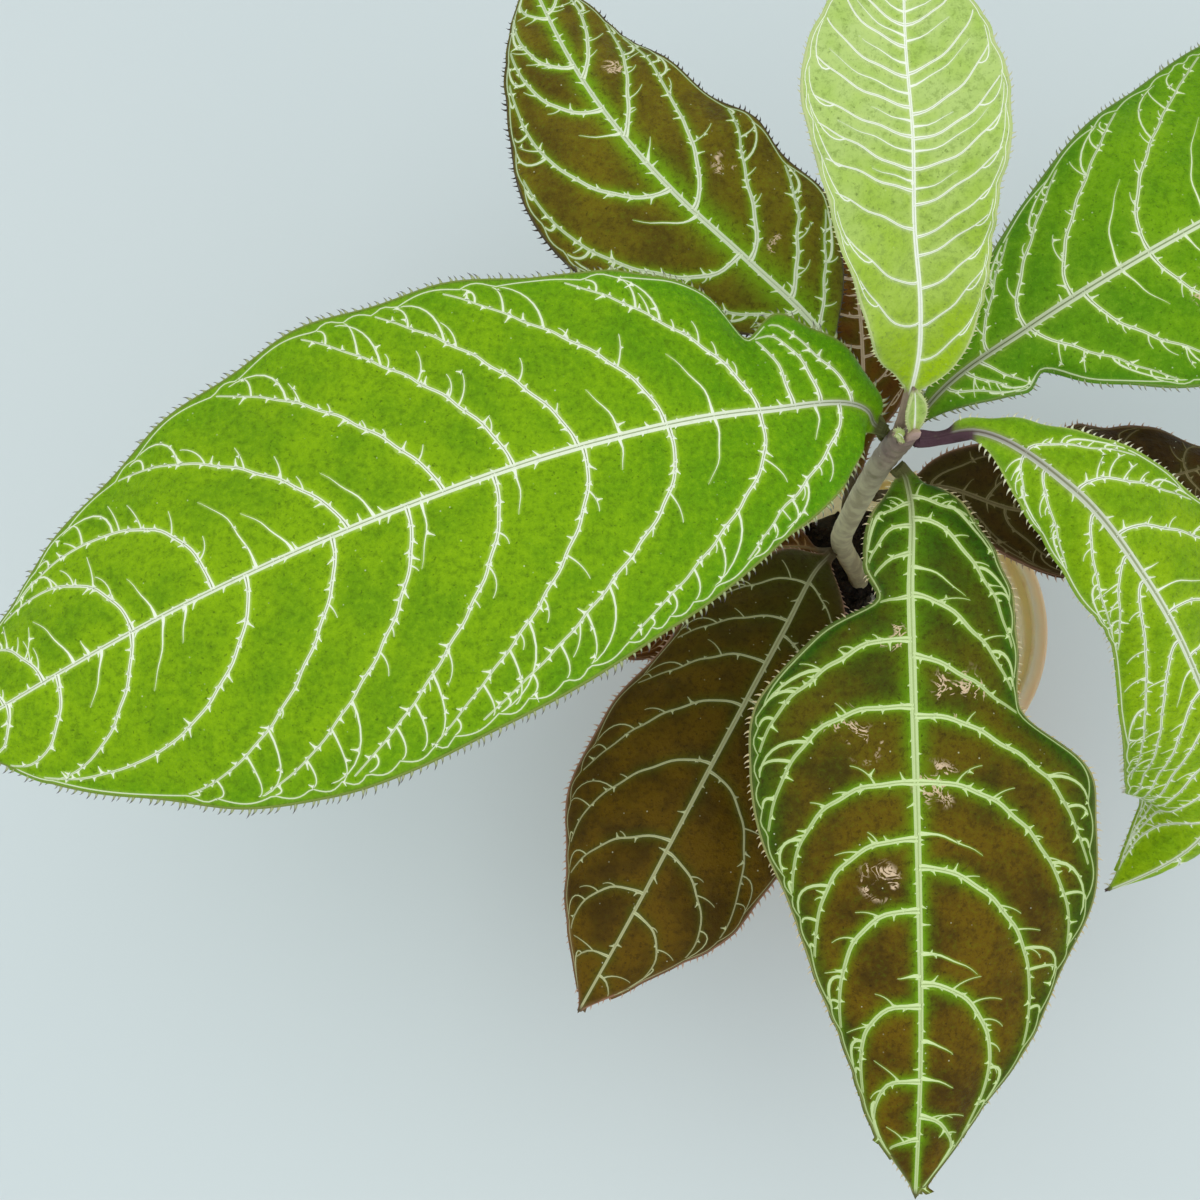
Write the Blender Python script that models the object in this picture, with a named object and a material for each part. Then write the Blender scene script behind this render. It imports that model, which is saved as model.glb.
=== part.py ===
"""A potted labisia: a nursery pot of soil with one short stem and its toothed, boldly veined leaves.

The origin is the middle of the pot's underside, +Z is up, and +X and +Y are right and away as seen
from the viewer who looks down on the plant. Sizes are typed in millimetres and built in metres.
"""

from dataclasses import dataclass, field
from math import cos, pi, radians, sin

import bmesh
import bpy
import numpy as np
from mathutils import Vector

MM = 0.001
GAP = 0.3  # clear space between pieces that touch on the plant
SHARP = 35.0  # degrees from which an edge is shaded sharp

# Pot: a 9 cm thin-walled nursery pot
POT_HEIGHT = 80.0
POT_RIM_RADIUS = 45.0
POT_BASE_RADIUS = 32.0
POT_WALL = 1.2
POT_FLOOR = 1.8
POT_FOOT_ROUND = 1.0
RIM_BAND_HEIGHT = 8.0
RIM_BAND_WIDTH = 2.6
RIM_ROUND = 1.2
RIM_LEDGE = 0.5  # small step inside the rim, as wide as it is deep
DRAIN_HOLES = 6
DRAIN_RADIUS = 3.5
DRAIN_CIRCLE = 19.0
DRAIN_SIDES = 12
POT_SIDES = 48

# Soil
SOIL_TOP = 62.0
SOIL_EDGE_DROP = 0.5  # how far the soil lies lower at the wall and at the stem
SOIL_BUMP = 0.9
SOIL_SIDES = 36
SOIL_RINGS = 5
HOLE_PLAY = 0.5  # clear space round the stem in its hole
WALL_PLAY = 0.6  # clear space to the flats of the pot's wall

# Stem: points of its axis, from the foot in the soil to the crown
STEM_RADIUS = 3.0
STEM_SIDES = 14
STEM_STEPS = 16
TOP_PLAY = 0.45  # clear space under a leaf stalk that stands on the crown
TOP_SLOPE = 0.12  # sideways lean of such a stalk
STEM_FOOT = (-3.0, 16.0, 50.5)
STEM_AXIS = [
    STEM_FOOT,
    (-4.0, 17.0, 65.0),
    (-9.0, 19.0, 78.0),
    (-13.0, 19.5, 92.0),
    (-13.0, 21.0, 110.0),
    (-12.4, 21.8, 130.0),
    (-11.3, 22.4, 148.0),
    (-9.2, 23.0, 162.0),
]

# Leaves
BLADE = 0.7  # thickness of every blade
STATION = 7.0  # distance between two cross sections, and between two teeth in this model
TOOTH_LENGTH = 1.6
TOOTH_BASE = 0.9
TOOTH_LEAN = 0.6  # how far a tooth points towards the leaf's tip
CURL = -14.0  # degrees that each half of a blade bends down between the rib and the margin
GROOVE = 0.25  # depth of the channel along the top of the rib, by rib radius
KEEL = 1.5  # depth of the rib below the blade, by rib radius
RIB_TIP = 0.35  # rib radius at the tip, by its radius at the stem
KEEL_ROUND = 0.3  # bulge of the rib's underside, by its depth
STALK_EDGE = 1.15  # least half width of the stalk, by rib radius
TOOTHED_FROM = 1.5  # half width over rib radius from which a margin is toothed
LEAD = 2.5  # straight first stretch of each leaf stalk
MARGIN_FADE = 0.5  # power by which the waves fade towards both ends


@dataclass
class Notch:
    """A dent in one margin: side 1 is left and -1 is right, seen from the stem to the tip."""

    side: int
    place: float
    depth: float
    reach: float
    drop: float = 0.0


@dataclass
class Leaf:
    """One leaf. Rib points are in mm; half widths stand at equal steps from stem to tip."""

    name: str
    colour: tuple
    height: float
    azimuth: float
    rib: list
    left: list
    right: list
    tilt_left: list
    tilt_right: list
    curl_left: list = field(default_factory=lambda: [CURL, CURL])
    curl_right: list = field(default_factory=lambda: [CURL, CURL])
    rib_radius: float = 1.5
    waves: float = 5.0
    wave: float = 1.2
    phase: float = 0.0
    toothed: bool = True
    on_top: tuple = None
    notches: list = field(default_factory=list)


LIME = (0.20, 0.42, 0.02)
YELLOW_GREEN = (0.35, 0.50, 0.10)
MID_GREEN = (0.08, 0.25, 0.01)
BROWN_GREEN = (0.10, 0.075, 0.015)
DARK_BROWN = (0.06, 0.035, 0.008)
RED_BROWN = (0.12, 0.04, 0.006)

LEAVES = [
    Leaf(
        name="leaf_left",
        colour=LIME,
        height=160.0,
        azimuth=156.0,
        rib=[
            (-18, 27, 165),
            (-43, 24, 173),
            (-78, 15, 178),
            (-121, 0, 177),
            (-165, -18, 170),
            (-224, -47, 153),
        ],
        left=[0, 19, 31, 40, 46, 50, 52, 53, 51, 45, 34, 20, 0],
        right=[0, 17, 29, 37, 42, 46, 48, 47, 43, 37, 28, 17, 0],
        tilt_left=[10, 4, -6],
        tilt_right=[12, 6, -4],
        rib_radius=1.6,
        waves=7.0,
        notches=[Notch(-1, 0.15, 8.0, 5.0, 3.0)],
    ),
    Leaf(
        name="leaf_back_left",
        colour=BROWN_GREEN,
        height=153.0,
        azimuth=112.0,
        rib=[
            (-19, 42, 150),
            (-28, 56, 151),
            (-42, 70, 153),
            (-61, 88, 156),
            (-78, 112, 154),
            (-97, 158, 144),
        ],
        left=[0, 0, 1, 3, 9, 22, 31, 31, 27, 21, 15, 9, 0],
        right=[0, 1, 2, 17, 26, 28, 29, 27, 24, 21, 16, 10, 0],
        tilt_left=[8, 4, -4],
        tilt_right=[8, 4, -4],
        phase=1.0,
    ),
    Leaf(
        name="leaf_young",
        colour=YELLOW_GREEN,
        height=162.0,
        azimuth=90.0,
        rib=[
            (-8.6, 34, 175),
            (-10, 42, 187),
            (-13, 54, 199),
            (-15, 69, 211),
            (-17, 84, 218),
            (-17, 106, 222),
        ],
        left=[0, 1, 2, 6, 10, 14, 17, 20, 22, 22, 18, 11, 0],
        right=[0, 1, 4, 9, 13, 15, 17, 19, 20, 19, 16, 10, 0],
        tilt_left=[25, 18, 8],
        tilt_right=[25, 18, 8],
        rib_radius=1.0,
        waves=8.0,
        wave=0.7,
        on_top=(-1.6, 0.9),
    ),
    Leaf(
        name="leaf_back_right",
        colour=MID_GREEN,
        height=156.5,
        azimuth=50.0,
        rib=[
            (-1, 33, 161),
            (19, 47, 166),
            (40, 60, 169),
            (59, 71, 170),
            (98, 93, 166),
            (142, 117, 158),
            (189, 140, 146),
        ],
        left=[0, 6, 18, 28, 35, 39, 41, 43, 43, 41, 36, 25, 0],
        right=[0, 9, 17, 31, 37, 40, 41, 40, 37, 33, 26, 15, 0],
        tilt_left=[8, 0, -8],
        tilt_right=[8, 0, -8],
        waves=6.0,
        phase=2.0,
        notches=[Notch(-1, 0.15, 5.0, 4.0, 2.0)],
    ),
    Leaf(
        name="leaf_drooping_right",
        colour=LIME,
        height=159.0,
        azimuth=0.0,
        rib=[
            (5, 21.5, 167),
            (26, 8, 167),
            (44, -10, 157),
            (61, -29, 138),
            (74, -46, 115),
            (75, -60, 97),
            (56, -73, 74),
        ],
        left=[0, 2, 11, 18, 24, 28, 30, 30, 28, 24, 18, 10, 0],
        right=[0, 1, 9, 13, 14, 14, 17, 21, 23, 22, 20, 12, 0],
        tilt_left=[5, 0, 0, -15, -35, -45],
        tilt_right=[0, -20, -30, -25, -10, 0],
        curl_left=[-12, -12, -20, -40, -80, -120],
        rib_radius=1.6,
        phase=0.5,
    ),
    Leaf(
        name="leaf_front",
        colour=BROWN_GREEN,
        height=149.0,
        azimuth=-50.0,
        rib=[
            (-7, 14, 151),
            (-8, -13, 152),
            (-8, -47, 148),
            (-7, -79, 139),
            (-6, -112, 127),
            (-6, -145, 112),
        ],
        left=[0, 14, 22, 24, 28, 40, 43, 42, 38, 31, 22, 12, 0],
        right=[0, 9, 12, 22, 35, 37, 35, 30, 25, 20, 15, 9, 0],
        tilt_left=[10, 0, -8],
        tilt_right=[10, 0, -8],
        phase=1.5,
        notches=[Notch(-1, 0.2, 8.0, 5.0, 0.0), Notch(1, 0.36, 3.0, 9.0, 4.0)],
    ),
    Leaf(
        name="leaf_low_front",
        colour=DARK_BROWN,
        height=90.0,
        azimuth=-133.0,
        rib=[(-20, 11, 94), (-30, -7, 98), (-51, -45, 101), (-69, -78, 97), (-84, -104, 88)],
        left=[0, 9, 15, 20, 24, 27, 29, 29, 28, 25, 18, 9, 0],
        right=[0, 12, 20, 24, 26, 29, 31, 32, 30, 25, 18, 9, 0],
        tilt_left=[5, -5, -10],
        tilt_right=[5, -5, -10],
        rib_radius=1.3,
        phase=2.5,
    ),
    Leaf(
        name="leaf_low_back",
        colour=DARK_BROWN,
        height=102.0,
        azimuth=85.0,
        rib=[(-12, 31, 109), (-10.5, 49, 120), (-11, 64, 125), (-12, 82, 127), (-9, 107, 124)],
        left=[0, 0, 1, 3, 9, 14, 19, 20, 20, 17, 14, 9, 0],
        right=[0, 0, 2, 4, 9, 13, 16, 17, 17, 16, 14, 9, 0],
        tilt_left=[10, 0, -5],
        tilt_right=[10, 0, -5],
        rib_radius=1.1,
        phase=0.8,
    ),
    Leaf(
        name="leaf_low_right",
        colour=DARK_BROWN,
        height=122.0,
        azimuth=5.0,
        rib=[(4, 23, 126), (26, 16, 128), (46, 20, 125), (71, 29, 120), (90, 35, 115)],
        left=[0, 2, 10, 17, 20, 20, 21, 21, 20, 17, 11, 5, 0],
        right=[0, 2, 4, 8, 12, 17, 19, 19, 17, 15, 12, 6, 0],
        tilt_left=[5, 0, -10],
        tilt_right=[5, 0, -10],
        rib_radius=1.2,
        phase=1.8,
    ),
    Leaf(
        name="leaf_low_left",
        colour=RED_BROWN,
        height=82.0,
        azimuth=180.0,
        rib=[(-22, 19, 87), (-42, 16, 90), (-67, 11, 88), (-89, 8, 82), (-109, 8, 74)],
        left=[0, 3, 8, 14, 19, 23, 24, 23, 21, 18, 14, 7, 0],
        right=[0, 3, 10, 15, 18, 20, 21, 21, 20, 18, 15, 9, 0],
        tilt_left=[5, -5, -10],
        tilt_right=[5, -5, -10],
        rib_radius=1.2,
        phase=0.3,
    ),
    Leaf(
        name="bud_leaf_back",
        colour=YELLOW_GREEN,
        height=162.0,
        azimuth=100.0,
        rib=[(-8.3, 24.0, 168), (-9.9, 27.7, 177)],
        left=[0, 1, 2, 2.6, 2.4, 1.4, 0],
        right=[0, 1, 2, 2.6, 2.4, 1.4, 0],
        tilt_left=[35, 30],
        tilt_right=[35, 30],
        rib_radius=0.6,
        wave=0.0,
        toothed=False,
        on_top=(1.3, -0.7),
    ),
    Leaf(
        name="bud_leaf_left",
        colour=YELLOW_GREEN,
        height=162.0,
        azimuth=200.0,
        rib=[(-11.4, 21.6, 165.5), (-13.0, 21.0, 167)],
        left=[0, 0.8, 1.3, 1.3, 0.8, 0],
        right=[0, 0.8, 1.3, 1.3, 0.8, 0],
        tilt_left=[25, 20],
        tilt_right=[25, 20],
        rib_radius=0.5,
        wave=0.0,
        toothed=False,
        on_top=(-0.9, -1.7),
    ),
]


def spline(points, count):
    """Even readings of a smooth curve through the points, whose steps are the chord lengths."""
    p = np.array(points, float)
    h = np.linalg.norm(np.diff(p, axis=0), axis=1)
    slope = np.diff(p, axis=0) / h[:, None]
    m = np.empty_like(p)
    m[1:-1] = (slope[:-1] * h[1:, None] + slope[1:] * h[:-1, None]) / (h[:-1] + h[1:])[:, None]
    m[0] = 1.5 * slope[0] - 0.5 * m[1]
    m[-1] = 1.5 * slope[-1] - 0.5 * m[-2]
    s = np.concatenate([[0], np.cumsum(h)])
    x = np.linspace(0, s[-1], count)
    i = np.clip(np.searchsorted(s, x, side="right") - 1, 0, len(h) - 1)
    f = ((x - s[i]) / h[i])[:, None]
    step = h[i][:, None]
    start = (2 * f**3 - 3 * f**2 + 1) * p[i] + (f**3 - 2 * f**2 + f) * step * m[i]
    end = (3 * f**2 - 2 * f**3) * p[i + 1] + (f**3 - f**2) * step * m[i + 1]
    return start + end


def even_curve(points, steps):
    """Points at equal distances along the smooth curve, and its length."""
    fine = spline(points, 800)
    run = np.concatenate([[0], np.cumsum(np.linalg.norm(np.diff(fine, axis=0), axis=1))])
    want = np.linspace(0, run[-1], steps + 1)
    return np.stack([np.interp(want, run, fine[:, k]) for k in range(3)], axis=1), run[-1]


def blend(values, u):
    """A smooth reading at u, from 0 to 1, of values that stand at equal steps."""
    v = np.array(values, float)
    n = len(v) - 1
    t = np.clip(u, 0, 1) * n
    i = np.minimum(t.astype(int), n - 1)
    f = t - i
    before, a, b, after = v[np.maximum(i - 1, 0)], v[i], v[i + 1], v[np.minimum(i + 2, n)]
    turn = (2 * before - 5 * a + 4 * b - after) * f**2 + (3 * a - before - 3 * b + after) * f**3
    return a + 0.5 * ((b - before) * f + turn)


def stem_axis(height):
    """The stem's middle at a height."""
    curve = even_curve(STEM_AXIS, 200)[0]
    return np.array([np.interp(height, curve[:, 2], curve[:, k]) for k in range(3)])


def seat(leaf):
    """Where the leaf's stalk starts, and the direction in which it leaves the stem."""
    turn = radians(leaf.azimuth)
    out = np.array([cos(turn), sin(turn), 0.0])
    if leaf.on_top:
        top = np.array(STEM_AXIS[-1])
        return top + np.array([*leaf.on_top, TOP_PLAY]), out * TOP_SLOPE + np.array([0, 0, 1.0])
    foot = leaf.height - BLADE - KEEL * leaf.rib_radius
    lean = max(0.0, (stem_axis(foot) - stem_axis(leaf.height)) @ out)
    return stem_axis(leaf.height) + out * (STEM_RADIUS + GAP + lean), out


def half_width(leaf, side, u, length):
    """Half width of one side, with its notches cut in, and how far each notch drops the margin."""
    width = blend(leaf.left if side > 0 else leaf.right, u)
    drop = np.zeros_like(u)
    for notch in leaf.notches:
        if notch.side == side:
            dent = np.exp(-(((u - notch.place) * length / notch.reach) ** 2))
            width = width - notch.depth * dent
            drop = drop + notch.drop * dent
    return width, drop


class Blade:
    """The leaf's surface: places on its top from a station along the rib and a share of the width."""

    def __init__(self, leaf, stations):
        start, out = seat(leaf)
        lead = min(LEAD, 0.4 * np.linalg.norm(np.array(leaf.rib[0]) - start))
        self.rib, self.length = even_curve([start, start + out * lead, *leaf.rib], stations)
        self.u = np.linspace(0, 1, stations + 1)
        tangent = np.gradient(self.rib, axis=0)
        tangent[0] = out
        self.tangent = tangent / np.linalg.norm(tangent, axis=1)[:, None]
        across = np.stack([-self.tangent[:, 1], self.tangent[:, 0], 0 * self.u], axis=1)
        self.across = across / np.linalg.norm(across, axis=1)[:, None]
        self.up = np.cross(self.tangent, self.across)
        self.radius = leaf.rib_radius * (1 + (RIB_TIP - 1) * self.u)
        self.sides = {}
        for side in (1, -1):
            width, drop = half_width(leaf, side, self.u, self.length)
            tilt = np.radians(blend(leaf.tilt_left if side > 0 else leaf.tilt_right, self.u))
            curl = np.radians(blend(leaf.curl_left if side > 0 else leaf.curl_right, self.u))
            self.sides[side] = (np.maximum(width, STALK_EDGE * self.radius), tilt, curl, drop)
        fade = np.sin(pi * self.u) ** MARGIN_FADE
        self.wave = leaf.wave * fade * np.sin(2 * pi * leaf.waves * self.u + leaf.phase)

    def place(self, i, side, reach):
        """The point at station i that lies reach mm from the rib on one side, and its normal.

        Each half is an arc across the leaf: it leaves the rib at its tilt and bends by its curl.
        """
        width, tilt, curl, drop = (part[i] for part in self.sides[side])
        share = reach / width
        angle = tilt + curl * share
        out = (sin(angle) - sin(tilt)) * width / curl
        rise = (cos(tilt) - cos(angle)) * width / curl
        flat = self.across[i] * side
        normal = self.up[i] * cos(angle) - flat * sin(angle)
        wave = (self.wave[i] * side - drop) * share**2
        return self.rib[i] + flat * out + self.up[i] * rise + normal * wave, normal


def ring(blade, i):
    """Top and bottom points of one cross section, from the left margin to the right one."""
    k = blade.radius[i]
    top, bottom = [], []
    keel = blade.rib[i] - blade.up[i] * (BLADE + KEEL * k)
    for side in (1, -1):
        width = blade.sides[side][0][i]
        row = [blade.place(i, side, reach) for reach in (width, 0.5 * (width + k), k, 0.5 * k)]
        high = [point for point, normal in row]
        low = [point - normal * BLADE for point, normal in row[:3]]
        low.append(0.5 * (low[2] + keel) - blade.up[i] * KEEL_ROUND * KEEL * k)
        if side < 0:
            high.reverse()
            low.reverse()
        top.extend(high)
        bottom.extend(low)
    top.insert(4, blade.rib[i] - blade.up[i] * GROOVE * k)
    bottom.insert(4, keel)
    return top, bottom


class Mesh:
    """Vertices in mm and triangles or squares, welded into one object in metres."""

    def __init__(self):
        self.bm = bmesh.new()

    def point(self, place):
        """A new vertex."""
        return self.bm.verts.new(Vector(place) * MM)

    def face(self, *corners):
        """One flat face."""
        self.bm.faces.new(corners)

    def quad(self, a, b, c, d):
        """Two triangles, cut from a to c."""
        self.face(a, b, c)
        self.face(a, c, d)

    def finish(self, name, colour, roughness):
        """Turn the faces outwards and make the object with its own material."""
        bmesh.ops.recalc_face_normals(self.bm, faces=self.bm.faces)
        mesh = bpy.data.meshes.new(name)
        self.bm.to_mesh(mesh)
        self.bm.free()
        mesh.shade_smooth()
        mesh.set_sharp_from_angle(angle=radians(SHARP))
        thing = bpy.data.objects.new(name, mesh)
        bpy.context.collection.objects.link(thing)
        mesh.materials.append(material(name, colour, roughness))
        return thing


def material(name, colour, roughness, metallic=0.0):
    """A plain material of one colour."""
    made = bpy.data.materials.new(name)
    made.use_nodes = True
    shader = made.node_tree.nodes["Principled BSDF"]
    shader.inputs["Base Color"].default_value = (*colour, 1.0)
    shader.inputs["Roughness"].default_value = roughness
    shader.inputs["Metallic"].default_value = metallic
    return made


def toothed_margin(mesh, i, side, rings, column):
    """Join two stations along one margin, with a tooth half way: both faces split alike."""
    (top_a, low_a), (top_b, low_b) = rings[i], rings[i + 1]
    inner = column + (1 if side > 0 else -1)
    a, b = top_a[column].co, top_b[column].co
    run = (b - a).normalized()
    middle = (a + b) * 0.5
    down = (low_a[column].co - a + low_b[column].co - b) * 0.5
    foot = run * (0.5 * TOOTH_BASE * MM)
    feet = [mesh.bm.verts.new(place) for place in (middle - foot, middle + foot)]
    low_feet = [mesh.bm.verts.new(place.co + down) for place in feet]
    outward = a - top_a[inner].co + b - top_b[inner].co
    outward = (outward - run * outward.dot(run)).normalized()
    apex = middle + down * 0.5 + outward * TOOTH_LENGTH * MM + run * TOOTH_LEAN * MM
    apex = mesh.bm.verts.new(apex)
    for first, second, (foot_a, foot_b) in ((top_a, top_b, feet), (low_a, low_b, low_feet)):
        mesh.face(first[inner], first[column], foot_a)
        mesh.face(first[inner], foot_a, second[inner])
        mesh.face(second[inner], foot_a, foot_b)
        mesh.face(second[inner], foot_b, second[column])
    mesh.quad(top_a[column], low_a[column], low_feet[0], feet[0])
    mesh.quad(feet[1], low_feet[1], low_b[column], top_b[column])
    mesh.face(feet[0], low_feet[0], apex)
    mesh.face(low_feet[0], low_feet[1], apex)
    mesh.face(low_feet[1], feet[1], apex)
    mesh.face(feet[1], feet[0], apex)


def plain_margin(mesh, i, side, rings, column):
    """Join two stations along one margin without a tooth."""
    (top_a, low_a), (top_b, low_b) = rings[i], rings[i + 1]
    inner = column + (1 if side > 0 else -1)
    for first, second in ((top_a, top_b), (low_a, low_b)):
        mesh.quad(first[inner], first[column], second[column], second[inner])
    mesh.quad(top_a[column], low_a[column], low_b[column], top_b[column])


def build_leaf(leaf):
    """A leaf as one closed solid: stalk, keeled rib and thin blade with its teeth."""
    length = even_curve([seat(leaf)[0], *leaf.rib], 10)[1]
    stations = max(len(leaf.left) - 1, round(length / STATION))
    blade = Blade(leaf, stations)
    mesh = Mesh()
    rings = []
    for i in range(stations):
        top, bottom = ring(blade, i)
        rings.append(([mesh.point(p) for p in top], [mesh.point(p) for p in bottom]))
    last = len(rings[0][0]) - 1
    for i in range(stations - 1):
        (top_a, low_a), (top_b, low_b) = rings[i], rings[i + 1]
        for first, second in ((top_a, top_b), (low_a, low_b)):
            for j in range(1, last - 1):
                mesh.quad(first[j], first[j + 1], second[j + 1], second[j])
        for side, column in ((1, 0), (-1, last)):
            wide = min(blade.sides[side][0][i : i + 2] / blade.radius[i : i + 2])
            if leaf.toothed and wide > TOOTHED_FROM:
                toothed_margin(mesh, i, side, rings, column)
            else:
                plain_margin(mesh, i, side, rings, column)
    top, low = rings[0]
    for j in range(last):
        mesh.quad(top[j], top[j + 1], low[j + 1], low[j])
    tip = mesh.point(blade.rib[-1])
    top, low = rings[-1]
    for j in range(last):
        mesh.face(top[j], top[j + 1], tip)
        mesh.face(low[j], low[j + 1], tip)
    mesh.face(top[0], low[0], tip)
    mesh.face(top[last], low[last], tip)
    return mesh.finish(leaf.name, leaf.colour, 0.45)


def build_stem():
    """The stem: a round bar along its bending axis, standing in the soil's hole."""
    axis = even_curve(STEM_AXIS, STEM_STEPS)[0]
    mesh = Mesh()
    rings = []
    for point in axis:
        turns = [2 * pi * k / STEM_SIDES for k in range(STEM_SIDES)]
        offsets = [np.array([cos(t), sin(t), 0]) * STEM_RADIUS for t in turns]
        rings.append([mesh.point(point + offset) for offset in offsets])
    for lower, upper in zip(rings, rings[1:]):
        for k in range(STEM_SIDES):
            n = (k + 1) % STEM_SIDES
            mesh.quad(lower[k], lower[n], upper[n], upper[k])
    mesh.face(*rings[0])
    mesh.face(*rings[-1])
    return mesh.finish("stem", (0.38, 0.35, 0.28), 0.6)


def turned(mesh, profile, sides):
    """Turn a profile of radius and height about the pot's axis; rings of radius 0 become poles."""
    rings = []
    for radius, height in profile:
        if radius == 0:
            rings.append([mesh.point((0, 0, height))] * sides)
            continue
        turns = [2 * pi * k / sides for k in range(sides)]
        rings.append([mesh.point((radius * cos(t), radius * sin(t), height)) for t in turns])
    for first, second in zip(rings, rings[1:]):
        for k in range(sides):
            n = (k + 1) % sides
            if first[0] is first[1]:
                mesh.face(first[0], second[n], second[k])
            elif second[0] is second[1]:
                mesh.face(first[k], first[n], second[0])
            else:
                mesh.quad(first[k], first[n], second[n], second[k])


def pot_inner_radius(height):
    """Inner radius of the pot's tapered wall."""
    slope = (POT_RIM_RADIUS - RIM_BAND_WIDTH - POT_BASE_RADIUS) / POT_HEIGHT
    return POT_BASE_RADIUS + slope * height - POT_WALL


def drain_cutter():
    """Round bars that cut the circle of drain holes through the pot's floor."""
    bm = bmesh.new()
    for k in range(DRAIN_HOLES):
        made = bmesh.ops.create_cone(
            bm,
            cap_ends=True,
            segments=DRAIN_SIDES,
            radius1=DRAIN_RADIUS * MM,
            radius2=DRAIN_RADIUS * MM,
            depth=4 * POT_FLOOR * MM,
        )
        turn = 2 * pi * (k + 0.5) / DRAIN_HOLES
        shift = Vector((cos(turn), sin(turn), 0)) * DRAIN_CIRCLE * MM
        bmesh.ops.translate(bm, verts=made["verts"], vec=shift)
    mesh = bpy.data.meshes.new("drain_cutter")
    bm.to_mesh(mesh)
    bm.free()
    cutter = bpy.data.objects.new("drain_cutter", mesh)
    bpy.context.collection.objects.link(cutter)
    cutter.hide_render = True
    cutter.display_type = "WIRE"
    return cutter


def build_pot():
    """The pot: tapered wall, rolled rim band, flat underside and a circle of drain holes."""
    top = POT_HEIGHT
    band = top - RIM_BAND_HEIGHT
    rim = POT_RIM_RADIUS
    inner = pot_inner_radius(top)
    profile = [
        (0, 0),
        (POT_BASE_RADIUS - POT_FOOT_ROUND, 0),
        (POT_BASE_RADIUS, POT_FOOT_ROUND),
        (pot_inner_radius(band) + POT_WALL, band),
        (rim - 0.5 * RIM_ROUND, band),
        (rim, top - RIM_ROUND),
        (rim - 0.3 * RIM_ROUND, top - 0.3 * RIM_ROUND),
        (rim - RIM_ROUND, top),
        (inner + RIM_LEDGE, top),
        (inner, top - RIM_LEDGE),
        (inner - RIM_LEDGE, top - 3 * RIM_LEDGE),
        (pot_inner_radius(band), band),
        (pot_inner_radius(POT_FLOOR), POT_FLOOR),
        (0, POT_FLOOR),
    ]
    mesh = Mesh()
    turned(mesh, profile, POT_SIDES)
    pot = mesh.finish("pot", (0.66, 0.36, 0.22), 0.5)
    cut = pot.modifiers.new("Drain holes", "BOOLEAN")
    cut.operation = "DIFFERENCE"
    cut.object = drain_cutter()
    cut.solver = "EXACT"
    return pot


def soil_height(x, y):
    """Height of the soil's uneven top."""
    bumps = sin(0.31 * x + 0.7) * cos(0.27 * y) + 0.6 * sin(0.53 * y + 0.19 * x)
    return SOIL_TOP + SOIL_BUMP * bumps


def build_soil():
    """The soil: it fills the pot and has a plain blind hole for the stem."""
    mesh = Mesh()
    floor = POT_FLOOR + GAP
    foot = np.array(STEM_FOOT)
    mouth = stem_axis(SOIL_TOP)
    middle = 0.5 * (foot + mouth)[:2]
    hole = STEM_RADIUS + HOLE_PLAY + 0.5 * np.linalg.norm((mouth - foot)[:2])
    low = pot_inner_radius(floor) - WALL_PLAY
    high = pot_inner_radius(SOIL_TOP) - WALL_PLAY
    spokes = [2 * pi * k / SOIL_SIDES for k in range(SOIL_SIDES)]
    spokes = [np.array([cos(t), sin(t)]) for t in spokes]
    rings = [[mesh.point((*spoke * low, floor)) for spoke in spokes]]
    for r in range(SOIL_RINGS + 1):
        share = r / SOIL_RINGS
        edge = r in (0, SOIL_RINGS)
        places = [spoke * high * (1 - share) + (middle + spoke * hole) * share for spoke in spokes]
        heights = [SOIL_TOP - SOIL_EDGE_DROP if edge else soil_height(x, y) for x, y in places]
        rings.append([mesh.point((*place, z)) for place, z in zip(places, heights)])
    rings.append([mesh.point((*(middle + spoke * hole), foot[2] - GAP)) for spoke in spokes])
    for first, second in zip(rings, rings[1:]):
        for k in range(SOIL_SIDES):
            n = (k + 1) % SOIL_SIDES
            mesh.quad(first[k], first[n], second[n], second[k])
    mesh.face(*rings[0])
    mesh.face(*rings[-1])
    return mesh.finish("soil", (0.02, 0.014, 0.01), 0.9)


def main():
    """Empty the scene, then build the pot, its soil, the stem and every leaf."""
    for thing in list(bpy.data.objects):
        bpy.data.objects.remove(thing, do_unlink=True)
    build_pot()
    build_soil()
    build_stem()
    for leaf in LEAVES:
        build_leaf(leaf)


main()
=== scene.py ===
"""The looks of a potted labisia: a small nursery pot of soil, one short stem and its leaves.

Every leaf is grown here as a fine blade with raised veins, short stubs on the veins, a thin rim and
a fringe of bristles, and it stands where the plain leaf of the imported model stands. Sizes are typed
in millimetres and built in metres. On a leaf, a place is two distances in its unrolled plane: along
the midrib from the stem, and aside from it, with left (seen from the stem) positive.
"""

import logging
from dataclasses import dataclass, field, replace
from enum import IntEnum
from math import ceil, cos, pi, radians, sin

import bpy
import numpy as np
from bpy.types import Material, Mesh, NodeSocket, Object
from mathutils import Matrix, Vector, kdtree, noise


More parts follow.
